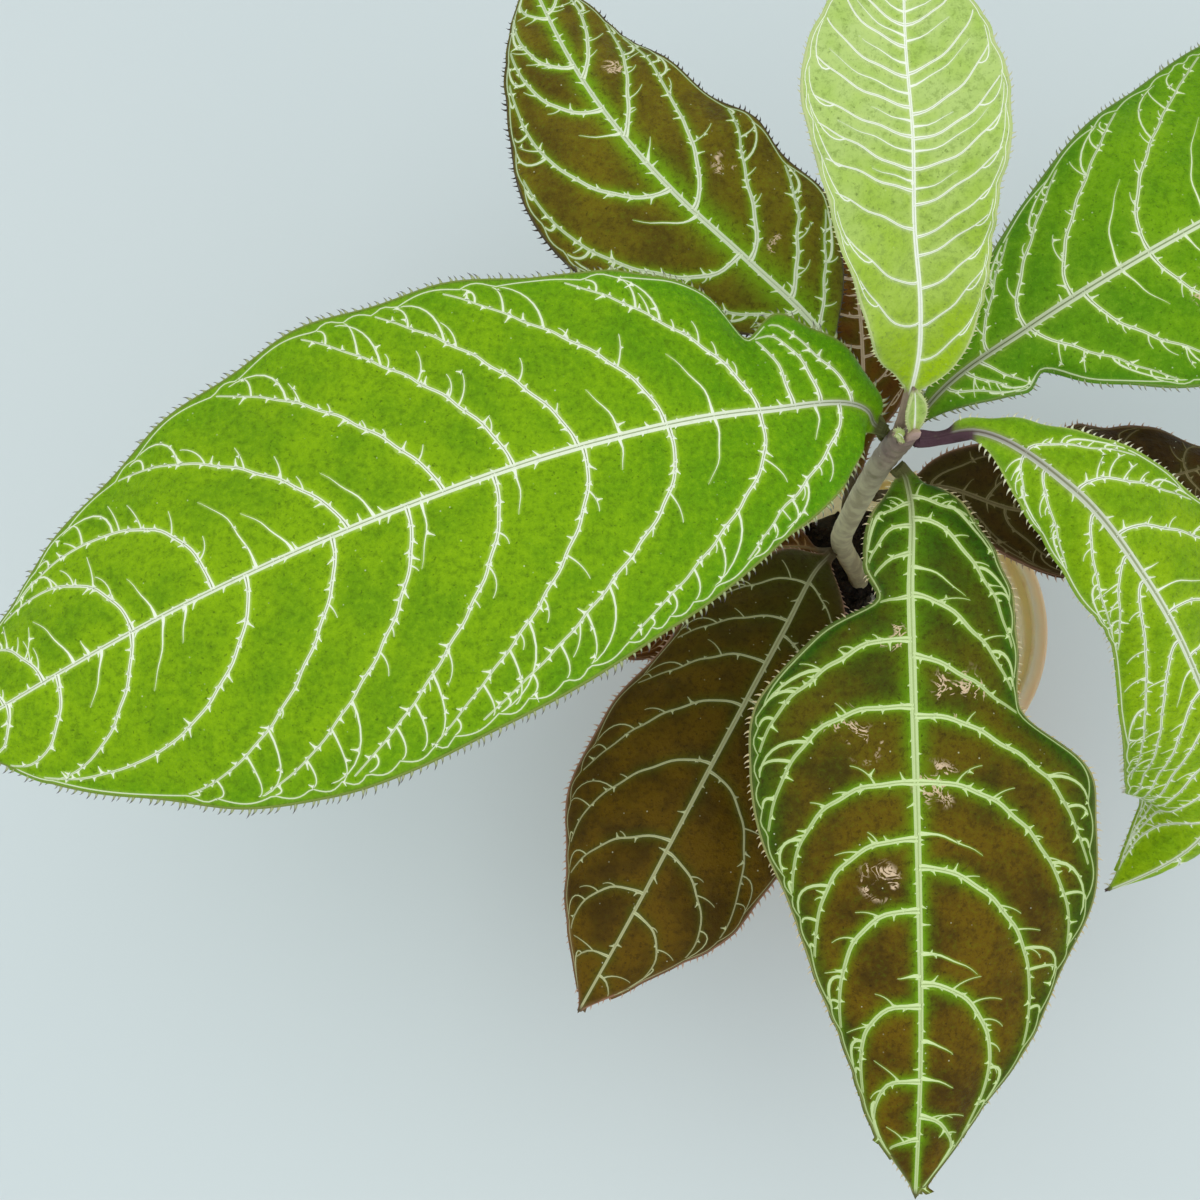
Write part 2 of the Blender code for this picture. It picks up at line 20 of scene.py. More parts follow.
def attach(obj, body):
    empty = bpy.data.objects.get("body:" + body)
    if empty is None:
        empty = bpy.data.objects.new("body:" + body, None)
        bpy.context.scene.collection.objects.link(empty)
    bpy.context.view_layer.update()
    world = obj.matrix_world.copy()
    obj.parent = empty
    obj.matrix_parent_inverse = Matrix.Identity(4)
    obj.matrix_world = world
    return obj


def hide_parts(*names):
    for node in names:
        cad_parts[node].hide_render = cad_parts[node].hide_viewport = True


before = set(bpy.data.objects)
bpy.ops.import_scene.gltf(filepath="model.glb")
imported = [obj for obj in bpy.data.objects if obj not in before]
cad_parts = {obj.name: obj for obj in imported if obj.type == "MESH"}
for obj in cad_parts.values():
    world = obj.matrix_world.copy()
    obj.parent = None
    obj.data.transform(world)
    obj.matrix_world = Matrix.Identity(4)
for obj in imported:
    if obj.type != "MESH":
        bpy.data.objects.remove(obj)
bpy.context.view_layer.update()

LOG = logging.getLogger("labisia")

MM = 0.001
BLADE = 0.7  # thickness of every blade
CURL = -14.0  # degrees by which half a blade bends from its midrib to its margin
GROOVE = 0.25  # depth of the groove on top of the midrib, by its radius
KEEL = 1.5  # depth of the keel below it, by its radius
RIB_TIP = 0.35  # radius of the midrib at the tip, by the one at the stalk
STALK_EDGE = 1.15  # least half width of a blade, by the midrib's radius
LEAD = 2.5  # length of a stalk's straight start
MARGIN_FADE = 0.5  # how soon the margin's waves die out towards both ends
STEM_RADIUS = 3.0
SEAT_GAP = 0.3  # between the stem's side and a stalk
TOP_PLAY = 0.45  # between the stem's top and a leaf that stands on it
TOP_SLOPE = 0.12  # how far such a leaf leans outwards at its foot
STEM_AXIS = (
    (-3.0, 16.0, 50.5),
    (-4.0, 17.0, 65.0),
    (-9.0, 19.0, 78.0),
    (-13.0, 19.5, 92.0),
    (-13.0, 21.0, 110.0),
    (-12.4, 21.8, 130.0),
    (-11.3, 22.4, 148.0),
    (-9.2, 23.0, 162.0),
)

Array = np.ndarray
Tree = bpy.types.NodeTree
Colour = tuple[float, float, float]


def tone(red: int, green: int, blue: int) -> Colour:
    """The linear colour of a screen colour whose parts run from 0 to 255."""
    parts = (part / 255 for part in (red, green, blue))
    return tuple(p / 12.92 if p <= 0.04045 else ((p + 0.055) / 1.055) ** 2.4 for p in parts)


def spline(points: Array, count: int) -> Array:
    """Even readings of a smooth curve through points, whose steps are the chord lengths.

    Args:
        points: The points that the curve passes, one row each.
        count: How many readings to take.

    Returns:
        One row for each reading.
    """
    p = np.array(points, float)
    h = np.linalg.norm(np.diff(p, axis=0), axis=1)
    slope = np.diff(p, axis=0) / h[:, None]
    m = np.empty_like(p)
    m[1:-1] = (slope[:-1] * h[1:, None] + slope[1:] * h[:-1, None]) / (h[:-1] + h[1:])[:, None]
    m[0] = 1.5 * slope[0] - 0.5 * m[1]
    m[-1] = 1.5 * slope[-1] - 0.5 * m[-2]
    s = np.concatenate([[0], np.cumsum(h)])
    x = np.linspace(0, s[-1], count)
    i = np.clip(np.searchsorted(s, x, side="right") - 1, 0, len(h) - 1)
    f = ((x - s[i]) / h[i])[:, None]
    step = h[i][:, None]
    start = (2 * f**3 - 3 * f**2 + 1) * p[i] + (f**3 - 2 * f**2 + f) * step * m[i]
    end = (3 * f**2 - 2 * f**3) * p[i + 1] + (f**3 - f**2) * step * m[i + 1]
    return start + end


def run_along(points: Array) -> Array:
    """The distance along a line of points, from the first point to each."""
    return np.concatenate([[0], np.cumsum(np.linalg.norm(np.diff(points, axis=0), axis=1))])


def read_rows(where: Array, places: Array, rows: Array) -> Array:
    """Rows of numbers that stand at rising places, read anywhere between them."""
    return np.stack([np.interp(where, places, column) for column in rows.T], axis=-1)


def even_turns(count: int) -> Array:
    """Angles at equal steps round a circle."""
    return 2 * pi * np.arange(count) / count


def circle(count: int) -> Array:
    """Points at equal steps on a circle with a radius of 1, one row each."""
    turns = even_turns(count)
    return np.stack([np.cos(turns), np.sin(turns)], axis=1)


def at_height(flat: Array, height: object) -> Array:
    """Places in a level plane, lifted to one height or to a height each."""
    return np.column_stack([flat, np.broadcast_to(height, len(flat))])


def bell(away: Array, reach: float | Array) -> Array:
    """A soft bump over a distance: 1 at its middle, a third at its reach and soon nothing."""
    return np.exp(-((away / reach) ** 2))


def turned_left(ways: Array) -> Array:
    """Directions in a plane, turned left by a right angle."""
    return np.stack([-ways[..., 1], ways[..., 0]], axis=-1)


def even_curve(points: Array, steps: int) -> tuple[Array, float]:
    """Points at equal distances along a smooth curve.

    Args:
        points: The points that the curve passes.
        steps: How many equal steps to take.

    Returns:
        The points, one more than the steps, and the curve's length.
    """
    fine = spline(points, 800)
    run = run_along(fine)
    return read_rows(np.linspace(0, run[-1], steps + 1), run, fine), run[-1]


def blend(values: list[float], u: Array) -> Array:
    """A smooth reading of values that stand at equal steps.

    Args:
        values: The values.
        u: Where to read, from 0 to 1.

    Returns:
        One reading for each place.
    """
    v = np.array(values, float)
    n = len(v) - 1
    t = np.clip(u, 0, 1) * n
    i = np.minimum(t.astype(int), n - 1)
    f = t - i
    before, a, b, after = v[np.maximum(i - 1, 0)], v[i], v[i + 1], v[np.minimum(i + 2, n)]
    turn = (2 * before - 5 * a + 4 * b - after) * f**2 + (3 * a - before - 3 * b + after) * f**3
    return a + 0.5 * ((b - before) * f + turn)


def unit(vectors: Array) -> Array:
    """The same vectors, one a row, each with length 1."""
    return vectors / np.maximum(np.linalg.norm(vectors, axis=-1, keepdims=True), 1e-9)


def stem_middle(height: float) -> Array:
    """The stem's middle at a height, in mm."""
    curve = even_curve(STEM_AXIS, 200)[0]
    return read_rows(height, curve[:, 2], curve)


class NodeTree:
    """A node tree under construction, with one way to add any node."""

    def __init__(self, tree: Tree) -> None:
        """Keeps the tree that the nodes go into."""
        self.tree = tree

    def add(
        self, kind: str, settings: dict | None = None, inputs: dict | None = None
    ) -> bpy.types.Node:
        """Adds one node.

        Args:
            kind: The node's type.
            settings: Its own settings, which are set first.
            inputs: A value or a link for each socket, by name or by number.

        Returns:
            The new node.
        """
        node = self.tree.nodes.new(kind)
        for name, value in (settings or {}).items():
            setattr(node, name, value)
        for key, value in (inputs or {}).items():
            self.plug(node.inputs[key], value)
        return node

    def plug(self, socket: NodeSocket, value: object) -> None:
        """Links a socket, or sets its own value.

        Args:
            socket: The socket to fill.
            value: Another socket, shader maths, a colour of three parts or a plain value.
        """
        if isinstance(value, Reading):
            value = value.socket
        if isinstance(value, NodeSocket):
            self.tree.links.new(value, socket)
        elif socket.type == "RGBA":
            socket.default_value = (*value, 1.0)
        else:
            socket.default_value = value


class Reading:
    """A number that varies over a surface, whose operators add the Math nodes they stand for."""

    def __init__(self, tree: NodeTree, socket: NodeSocket) -> None:
        """Keeps the socket that gives the number, and the tree that it belongs to."""
        self.tree, self.socket = tree, socket

    def maths(self, operation: str, *terms: "Reading | float", **settings: object) -> "Reading":
        """The outcome of one Math node.

        Args:
            operation: The node's operation.
            terms: Its inputs in order.
            settings: Other settings of the node.

        Returns:
            The node's reading.
        """
        settings = {"operation": operation, **settings}
        node = self.tree.add("ShaderNodeMath", settings, dict(enumerate(terms)))
        return Reading(self.tree, node.outputs[0])

    def __add__(self, other: "Reading | float") -> "Reading":
        """The sum."""
        return self.maths("ADD", self, other)

    def __sub__(self, other: "Reading | float") -> "Reading":
        """The difference."""
        return self.maths("SUBTRACT", self, other)

    def __rsub__(self, other: "Reading | float") -> "Reading":
        """The difference, taken from a plain number."""
        return self.maths("SUBTRACT", other, self)

    def __mul__(self, other: "Reading | float") -> "Reading":
        """The product."""
        return self.maths("MULTIPLY", self, other)

    def __pow__(self, other: float) -> "Reading":
        """The power."""
        return self.maths("POWER", self, other)

    def __abs__(self) -> "Reading":
        """The number without its sign."""
        return self.maths("ABSOLUTE", self)

    __radd__ = __add__
    __rmul__ = __mul__

    def clipped(self) -> "Reading":
        """The same number, kept from 0 to 1."""
        return self.maths("ADD", self, 0.0, use_clamp=True)

    def between(self, low: float, high: float) -> "Reading":
        """A smooth rise from 0 to 1.

        Args:
            low: Where it starts.
            high: Where it ends.

        Returns:
            The rise at this number.
        """
        inputs = {"Value": self, "From Min": low, "From Max": high}
        node = self.tree.add("ShaderNodeMapRange", {"interpolation_type": "SMOOTHSTEP"}, inputs)
        return Reading(self.tree, node.outputs[0])


class Finish(NodeTree):
    """A material under construction."""

    def __init__(self, name: str) -> None:
        """Starts an empty material.

        Args:
            name: Its name.
        """
        self.material = bpy.data.materials.new(name)
        self.material.use_nodes = True
        super().__init__(self.material.node_tree)
        self.tree.nodes.clear()
        self.place = self.add("ShaderNodeTexCoord").outputs["Object"]

    def attribute(self, name: str) -> Reading:
        """The number that the mesh holds under a name."""
        return Reading(self, self.add("ShaderNodeAttribute", {"attribute_name": name}).outputs["Fac"])

    def noise(
        self, size: float, detail: float = 2.0, rough: float = 0.5, bend: float = 0.0
    ) -> Reading:
        """Cloudy noise.

        Args:
            size: The size of its clouds in metres.
            detail: How many finer layers it has.
            rough: How strong the finer layers are.
            bend: How far its shapes are warped.

        Returns:
            A number from 0 to 1.
        """
        inputs = {"Vector": self.place, "Scale": 1 / size, "Detail": detail}
        inputs |= {"Roughness": rough, "Distortion": bend}
        return Reading(self, self.add("ShaderNodeTexNoise", None, inputs).outputs[0])

    def cells(self, size: float, feature: str = "DISTANCE_TO_EDGE") -> Reading:
        """Cells like a net.

        Args:
            size: Their size in metres.
            feature: What to measure: the distance to their edges, or with F1 to their middles.

        Returns:
            The distance, by the size.
        """
        inputs = {"Vector": self.place, "Scale": 1 / size}
        node = self.add("ShaderNodeTexVoronoi", {"feature": feature}, inputs)
        return Reading(self, node.outputs["Distance"])

    def mix(self, base: object, over: object, amount: Reading | float) -> NodeSocket:
        """The base colour with an amount of another one over it, from 0 to 1."""
        settings = {"data_type": "RGBA", "clamp_factor": True}
        return self.add("ShaderNodeMix", settings, {0: amount, 6: base, 7: over}).outputs[2]

    def relief(self, height: Reading, depth: float) -> NodeSocket:
        """The normal of a surface whose height varies by a depth in metres."""
        inputs = {"Strength": 1.0, "Distance": depth, "Height": height}
        return self.add("ShaderNodeBump", None, inputs).outputs[0]

    def close(
        self, colour: object, roughness: object, normal: object = None, **fixed: object
    ) -> Material:
        """Ends the material in its shader.

        Args:
            colour: The colour, plain or varying.
            roughness: The roughness, plain or varying.
            normal: The normal from a relief.
            fixed: Other sockets of the shader, with a low line for each space.

        Returns:
            The finished material.
        """
        inputs = {"Base Color": colour, "Roughness": roughness}
        inputs |= {name.replace("_", " "): value for name, value in fixed.items()}
        if normal is not None:
            inputs["Normal"] = normal
        shader = self.add("ShaderNodeBsdfPrincipled", None, inputs)
        self.add("ShaderNodeOutputMaterial", None, {"Surface": shader.outputs[0]})
        return self.material


class Parts:
    """Vertices, faces and per-vertex numbers that are gathered into one mesh."""

    def __init__(self) -> None:
        """Starts empty."""
        self.points: list[Array] = []
        self.faces: list[list] = []
        self.slots: list[Array] = []
        self.numbers: dict[str, list[tuple[int, Array]]] = {}
        self.count = 0

    def add(self, points: Array, faces: list, slot: int | Array, **numbers: Array) -> None:
        """Adds a piece of mesh.

        Args:
            points: Its vertices in mm, one row each.
            faces: Arrays of faces, each with one row of vertex numbers for a face.
            slot: The material slot of its faces.
            numbers: Numbers for its vertices, by attribute name.
        """
        total = sum(len(block) for block in faces)
        self.points.append(points)
        for block in faces:
            self.faces.extend((block + self.count).tolist())
        self.slots.append(np.full(total, slot))
        for name, values in numbers.items():
            self.numbers.setdefault(name, []).append((self.count, values))
        self.count += len(points)

    def build(self, name: str, materials: list[Material]) -> Object:
        """Makes the object.

        Args:
            name: The object's name.
            materials: Its materials, by slot.

        Returns:
            The new object, at the origin, with its place in its mesh.
        """
        mesh = bpy.data.meshes.new(name)
        mesh.from_pydata((np.concatenate(self.points) * MM).tolist(), [], self.faces)
        for material in materials:
            mesh.materials.append(material)
        mesh.polygons.foreach_set("material_index", np.concatenate(self.slots).astype(np.int32))
        for key, blocks in self.numbers.items():
            values = np.zeros(self.count, np.float32)
            for start, block in blocks:
                values[start : start + len(block)] = block
            mesh.attributes.new(key, "FLOAT", "POINT").data.foreach_set("value", values)
        mesh.shade_smooth()
        mesh.update()
        piece = bpy.data.objects.new(name, mesh)
        bpy.context.collection.objects.link(piece)
        return piece


def strip_faces(rows: int, columns: int, closed: bool = False) -> Array:
    """Squares between rows of vertices.

    Args:
        rows: How many rows there are.
        columns: How many vertices a row has.
        closed: True if each row is a ring.

    Returns:
        One row of four vertex numbers for a square.
    """
    steps = columns if closed else columns - 1
    i, j = np.repeat(np.arange(rows - 1), steps) * columns, np.tile(np.arange(steps), rows - 1)
    k = (j + 1) % columns
    return np.stack([i + j, i + k, i + columns + k, i + columns + j], axis=1)


def tube_faces(rows: int, sides: int) -> list[Array]:
    """Faces of a closed tube of rings: its wall and its two ends."""
    j = np.arange(sides)
    return [strip_faces(rows, sides, closed=True), j[None, ::-1], (j + (rows - 1) * sides)[None]]


def evaluated_mesh(thing: Object) -> Mesh:
    """A plain mesh of an object with its modifiers done.

    Args:
        thing: The object.

    Returns:
        The new mesh.
    """
    bpy.context.view_layer.update()
    done = thing.evaluated_get(bpy.context.evaluated_depsgraph_get())
    return bpy.data.meshes.new_from_object(done)


def mesh_arrays(mesh: Mesh) -> tuple[Array, list[Array]]:
    """A mesh as arrays.

    Args:
        mesh: The mesh.

    Returns:
        Its vertices in mm, and its faces in one array for each number of corners.
    """
    points = np.empty(len(mesh.vertices) * 3, np.float32)
    mesh.vertices.foreach_get("co", points)
    by_size: dict[int, list] = {}
    for face in mesh.polygons:
        by_size.setdefault(len(face.vertices), []).append(tuple(face.vertices))
    return points.reshape(-1, 3) / MM, [np.array(block) for block in by_size.values()]


class Growth(NodeTree):
    """A Geometry Nodes tree that sets one grown shape on every point of a mesh."""

    def __init__(self, name: str, sizes: dict[str, float]) -> None:
        """Starts a tree.

        Args:
            name: The tree's name.
            sizes: Its named sizes with their usual values.
        """
        super().__init__(bpy.data.node_groups.new(name, "GeometryNodeTree"))
        face = self.tree.interface
        face.new_socket("Geometry", in_out="OUTPUT", socket_type="NodeSocketGeometry")
        face.new_socket("Geometry", in_out="INPUT", socket_type="NodeSocketGeometry")
        for size, value in sizes.items():
            face.new_socket(size, in_out="INPUT", socket_type="NodeSocketFloat").default_value = value
        face.new_socket("Seed", in_out="INPUT", socket_type="NodeSocketInt")
        face.new_socket("Material", in_out="INPUT", socket_type="NodeSocketMaterial")
        self.given = self.add("NodeGroupInput").outputs

    def read(self, name: str) -> NodeSocket:
        """A vector that the points hold under a name."""
        node = self.add("GeometryNodeInputNamedAttribute", {"data_type": "FLOAT_VECTOR"}, {"Name": name})
        return node.outputs[0]

    def chance(self, low: object, high: object) -> NodeSocket:
        """A random number for each point, from the tree's seed."""
        inputs = {2: low, 3: high, "Seed": self.given["Seed"]}
        return self.add("FunctionNodeRandomValue", {"data_type": "FLOAT"}, inputs).outputs[1]

    def maths(self, operation: str, a: object, b: object) -> NodeSocket:
        """The outcome of one Math node with two inputs."""
        return self.add("ShaderNodeMath", {"operation": operation}, {0: a, 1: b}).outputs[0]

    def close(self, geometry: NodeSocket) -> Tree:
        """Ends the tree: real geometry with its material.

        Args:
            geometry: The grown instances.

        Returns:
            The finished tree.
        """
        real = self.add("GeometryNodeRealizeInstances", None, {"Geometry": geometry}).outputs[0]
        inputs = {"Geometry": real, "Material": self.given["Material"]}
        dressed = self.add("GeometryNodeSetMaterial", None, inputs).outputs[0]
        self.add("NodeGroupOutput", None, {"Geometry": dressed})
        return self.tree


def grow(points: Array, vectors: dict[str, Array], tree: Tree, sizes: dict[str, object]) -> Mesh:
    """Runs a growth on points.

    Args:
        points: Where the shapes grow, in mm.
        vectors: What each point holds, by name.
        tree: The growth's node tree.
        sizes: Values of the tree's named inputs.

    Returns:
        The grown mesh.
    """
    mesh = bpy.data.meshes.new("seeds")
    mesh.from_pydata((points * MM).tolist(), [], [])
    for name, values in vectors.items():
        held = mesh.attributes.new(name, "FLOAT_VECTOR", "POINT").data
        held.foreach_set("vector", values.astype(np.float32).ravel())
    seeds = bpy.data.objects.new("seeds", mesh)
    bpy.context.collection.objects.link(seeds)
    grown = run_tree(seeds, tree, sizes)
    bpy.data.objects.remove(seeds, do_unlink=True)
    return grown


def run_tree(thing: Object, tree: Tree, sizes: dict[str, object]) -> Mesh:
    """Runs a node tree on an object and leaves the object without it.

    Args:
        thing: The object.
        tree: The node tree.
        sizes: Values of the tree's named inputs.

    Returns:
        What the tree makes of the object, as a plain mesh.
    """
    modifier = thing.modifiers.new(tree.name, "NODES")
    modifier.node_group = tree
    for item in tree.interface.items_tree:
        if item.in_out == "INPUT" and item.name in sizes:
            modifier[item.identifier] = sizes[item.name]
    made = evaluated_mesh(thing)
    thing.modifiers.remove(modifier)
    return made


def bristle_tree() -> Tree:
    """The growth of one curved, pointed bristle on each point, with its place along it kept.

    Returns:
        The tree. Points hold aim, forward and size; a bristle grows along aim and hooks forward.
    """
    sizes = {"Length": 1.35 * MM, "Thickness": 0.3 * MM, "Hook": 0.55 * MM, "Spread": 0.35}
    growth = Growth("Bristles", sizes)
    given = growth.given
    half = growth.maths("MULTIPLY", given["Length"], 0.6)
    middle = growth.add("ShaderNodeCombineXYZ", None, {"Z": half}).outputs[0]
    end = growth.add("ShaderNodeCombineXYZ", None, {"Y": given["Hook"], "Z": given["Length"]}).outputs[0]
    line = {"Resolution": 4, "Start": (0, 0, 0), "Middle": middle, "End": end}
    curve = growth.add("GeometryNodeCurveQuadraticBezier", None, line).outputs[0]
    run = growth.add("GeometryNodeSplineParameter").outputs["Factor"]
    slim = growth.maths("POWER", growth.maths("SUBTRACT", 1.04, run), 1.2)
    inputs = {"Geometry": curve, "Name": "reach", "Value": run}
    curve = growth.add("GeometryNodeStoreNamedAttribute", {"data_type": "FLOAT"}, inputs).outputs[0]
    ring = growth.add("GeometryNodeCurvePrimitiveCircle", None, {"Resolution": 4, "Radius": 1.0}).outputs[0]
    thick = growth.maths("MULTIPLY", slim, given["Thickness"])
    inputs = {"Curve": curve, "Profile Curve": ring, "Scale": thick, "Fill Caps": True}
    bristle = growth.add("GeometryNodeCurveToMesh", None, inputs).outputs[0]
    axes = {"Primary Axis": growth.read("aim"), "Secondary Axis": growth.read("forward")}
    named = {"primary_axis": "Z", "secondary_axis": "Y"}
    turn = growth.add("FunctionNodeAxesToRotation", named, axes).outputs[0]
    spread = given["Spread"]
    low, high = growth.maths("SUBTRACT", 1.0, spread), growth.maths("ADD", 1.0, spread)
    inputs = {0: growth.read("size"), "Scale": growth.chance(low, high)}
    scale = growth.add("ShaderNodeVectorMath", {"operation": "SCALE"}, inputs).outputs[0]
    inputs = {"Points": given["Geometry"], "Instance": bristle, "Rotation": turn, "Scale": scale}
    return growth.close(growth.add("GeometryNodeInstanceOnPoints", None, inputs).outputs[0])


@dataclass
class Notch:
    """A dent in one margin: side 1 is left and -1 is right, seen from the stem to the tip."""

    side: int
    place: float
    depth: float
    reach: float
    drop: float = 0.0


@dataclass(frozen=True)
class VeinPlan:
    """The side veins of one half of a blade.

    A main vein is where it starts and ends, by length, and how strongly it bends forward. A middle
    vein is where it starts and the share of the half width that it reaches.
    """

    UNEVEN = 0.16  # how far a vein of an even plan is off its place, by the step
    FORWARD_FADE = 0.7  # how much less far forward such veins run near the tip
    LAST_END = 0.975
    MIDDLE_CHANCE = 0.6

    main: tuple[tuple[float, float, float], ...]
    middle: tuple[tuple[float, float], ...] = ()

    @classmethod
    def even(cls, count: int, first: float, last: float, forward: float, seed: int) -> "VeinPlan":
        """A plan with veins at nearly equal steps.

        Args:
            count: How many main veins there are.
            first: Place of the first.
            last: Place of the last.
            forward: How far forward the first one runs; later ones run less far.
            seed: Fixes their small differences.

        Returns:
            The plan, with a shorter vein between some of the main ones.
        """
        rng = np.random.default_rng(seed)
        step = (last - first) / (count - 1)
        start = first + step * (np.arange(count) + rng.uniform(-cls.UNEVEN, cls.UNEVEN, count))
        run = forward * (1 - cls.FORWARD_FADE * start) * rng.uniform(0.9, 1.1, count)
        end = np.minimum(start + run, cls.LAST_END)
        middle = [
            (place + step * rng.uniform(0.4, 0.6), rng.uniform(0.15, 0.5))
            for place in start[:-1].tolist()
        ]
        kept = tuple(vein for vein in middle if rng.uniform() < cls.MIDDLE_CHANCE)
        bend = rng.uniform(1.7, 2.4, count)
        return cls(tuple(zip(start.tolist(), end.tolist(), bend.tolist())), kept)


@dataclass(frozen=True)
class LeafFinish:
    """The colours of one leaf and its gloss."""

    name: str
    lamina: Colour
    cloud: Colour  # in broad patches over the lamina
    base: Colour  # near the stalk and along the margin
    halo: Colour  # in a broad band beside the larger veins
    glow: Colour  # in a narrow band beside every vein
    vein: Colour
    vein_end: Colour
    crease: Colour  # along the middle of a vein
    rim: Colour
    bristle: Colour
    bristle_tip: Colour
    stalk: Colour
    underside: Colour
    roughness: float = 0.45
    halo_strength: float = 0.6
    edge: float = 0.0  # how strongly the base colour follows the margin
    dust: float = 0.5
    mottle: float = 0.3


@dataclass
class LeafShape:
    """One leaf, in mm and degrees; half widths, tilts and curls stand at equal steps to the tip."""

    node: str
    slot: str
    finish: LeafFinish
    height: float
    azimuth: float
    rib: list
    left: list
    right: list
    tilt_left: list
    tilt_right: list | None = None  # None where it is as the left one
    curl_left: list = field(default_factory=lambda: [CURL, CURL])
    curl_right: list = field(default_factory=lambda: [CURL, CURL])
    rib_radius: float = 1.5
    waves: float = 5.0  # how many waves the margin has
    wave: float = 1.2  # and how high they are
    phase: float = 0.0
    on_top: tuple | None = None  # place on the stem's top, for a leaf that stands there
    notches: list = field(default_factory=list)
    veins_left: VeinPlan | None = None
    veins_right: VeinPlan | None = None
    vein_half: float = 0.52
    midrib_half: float = 0.95
    midrib_halo: float = 2.4
    side_halo: float = 1.7
    base_reach: float = 0.28  # how far the base colour reaches, by length
    brown_reach: float = 0.1  # how far the stalk's colour runs up the midrib, by length
    frill: float = 0.0  # height of the tight waves near the stalk
    tooth_step: float = 1.7
    tooth_size: float = 1.0
    base_teeth: float = 1.0  # size of the bristles near the stalk, by the others
    stub_step: float = 3.2
    branched: float = 1.0  # how many hooks the side veins have; none have links at 0
    link_half: float = 0.24
    scars: tuple = ()  # place by length, share of the half width and reach of each
    spacing: float = 1.25  # between the blade's vertices
    seed: int = 1


@dataclass
class Vein:
    """One vein in the unrolled plane of its leaf, with its half widths and how pale it has gone."""

    path: Array
    half: Array
    fade: Array


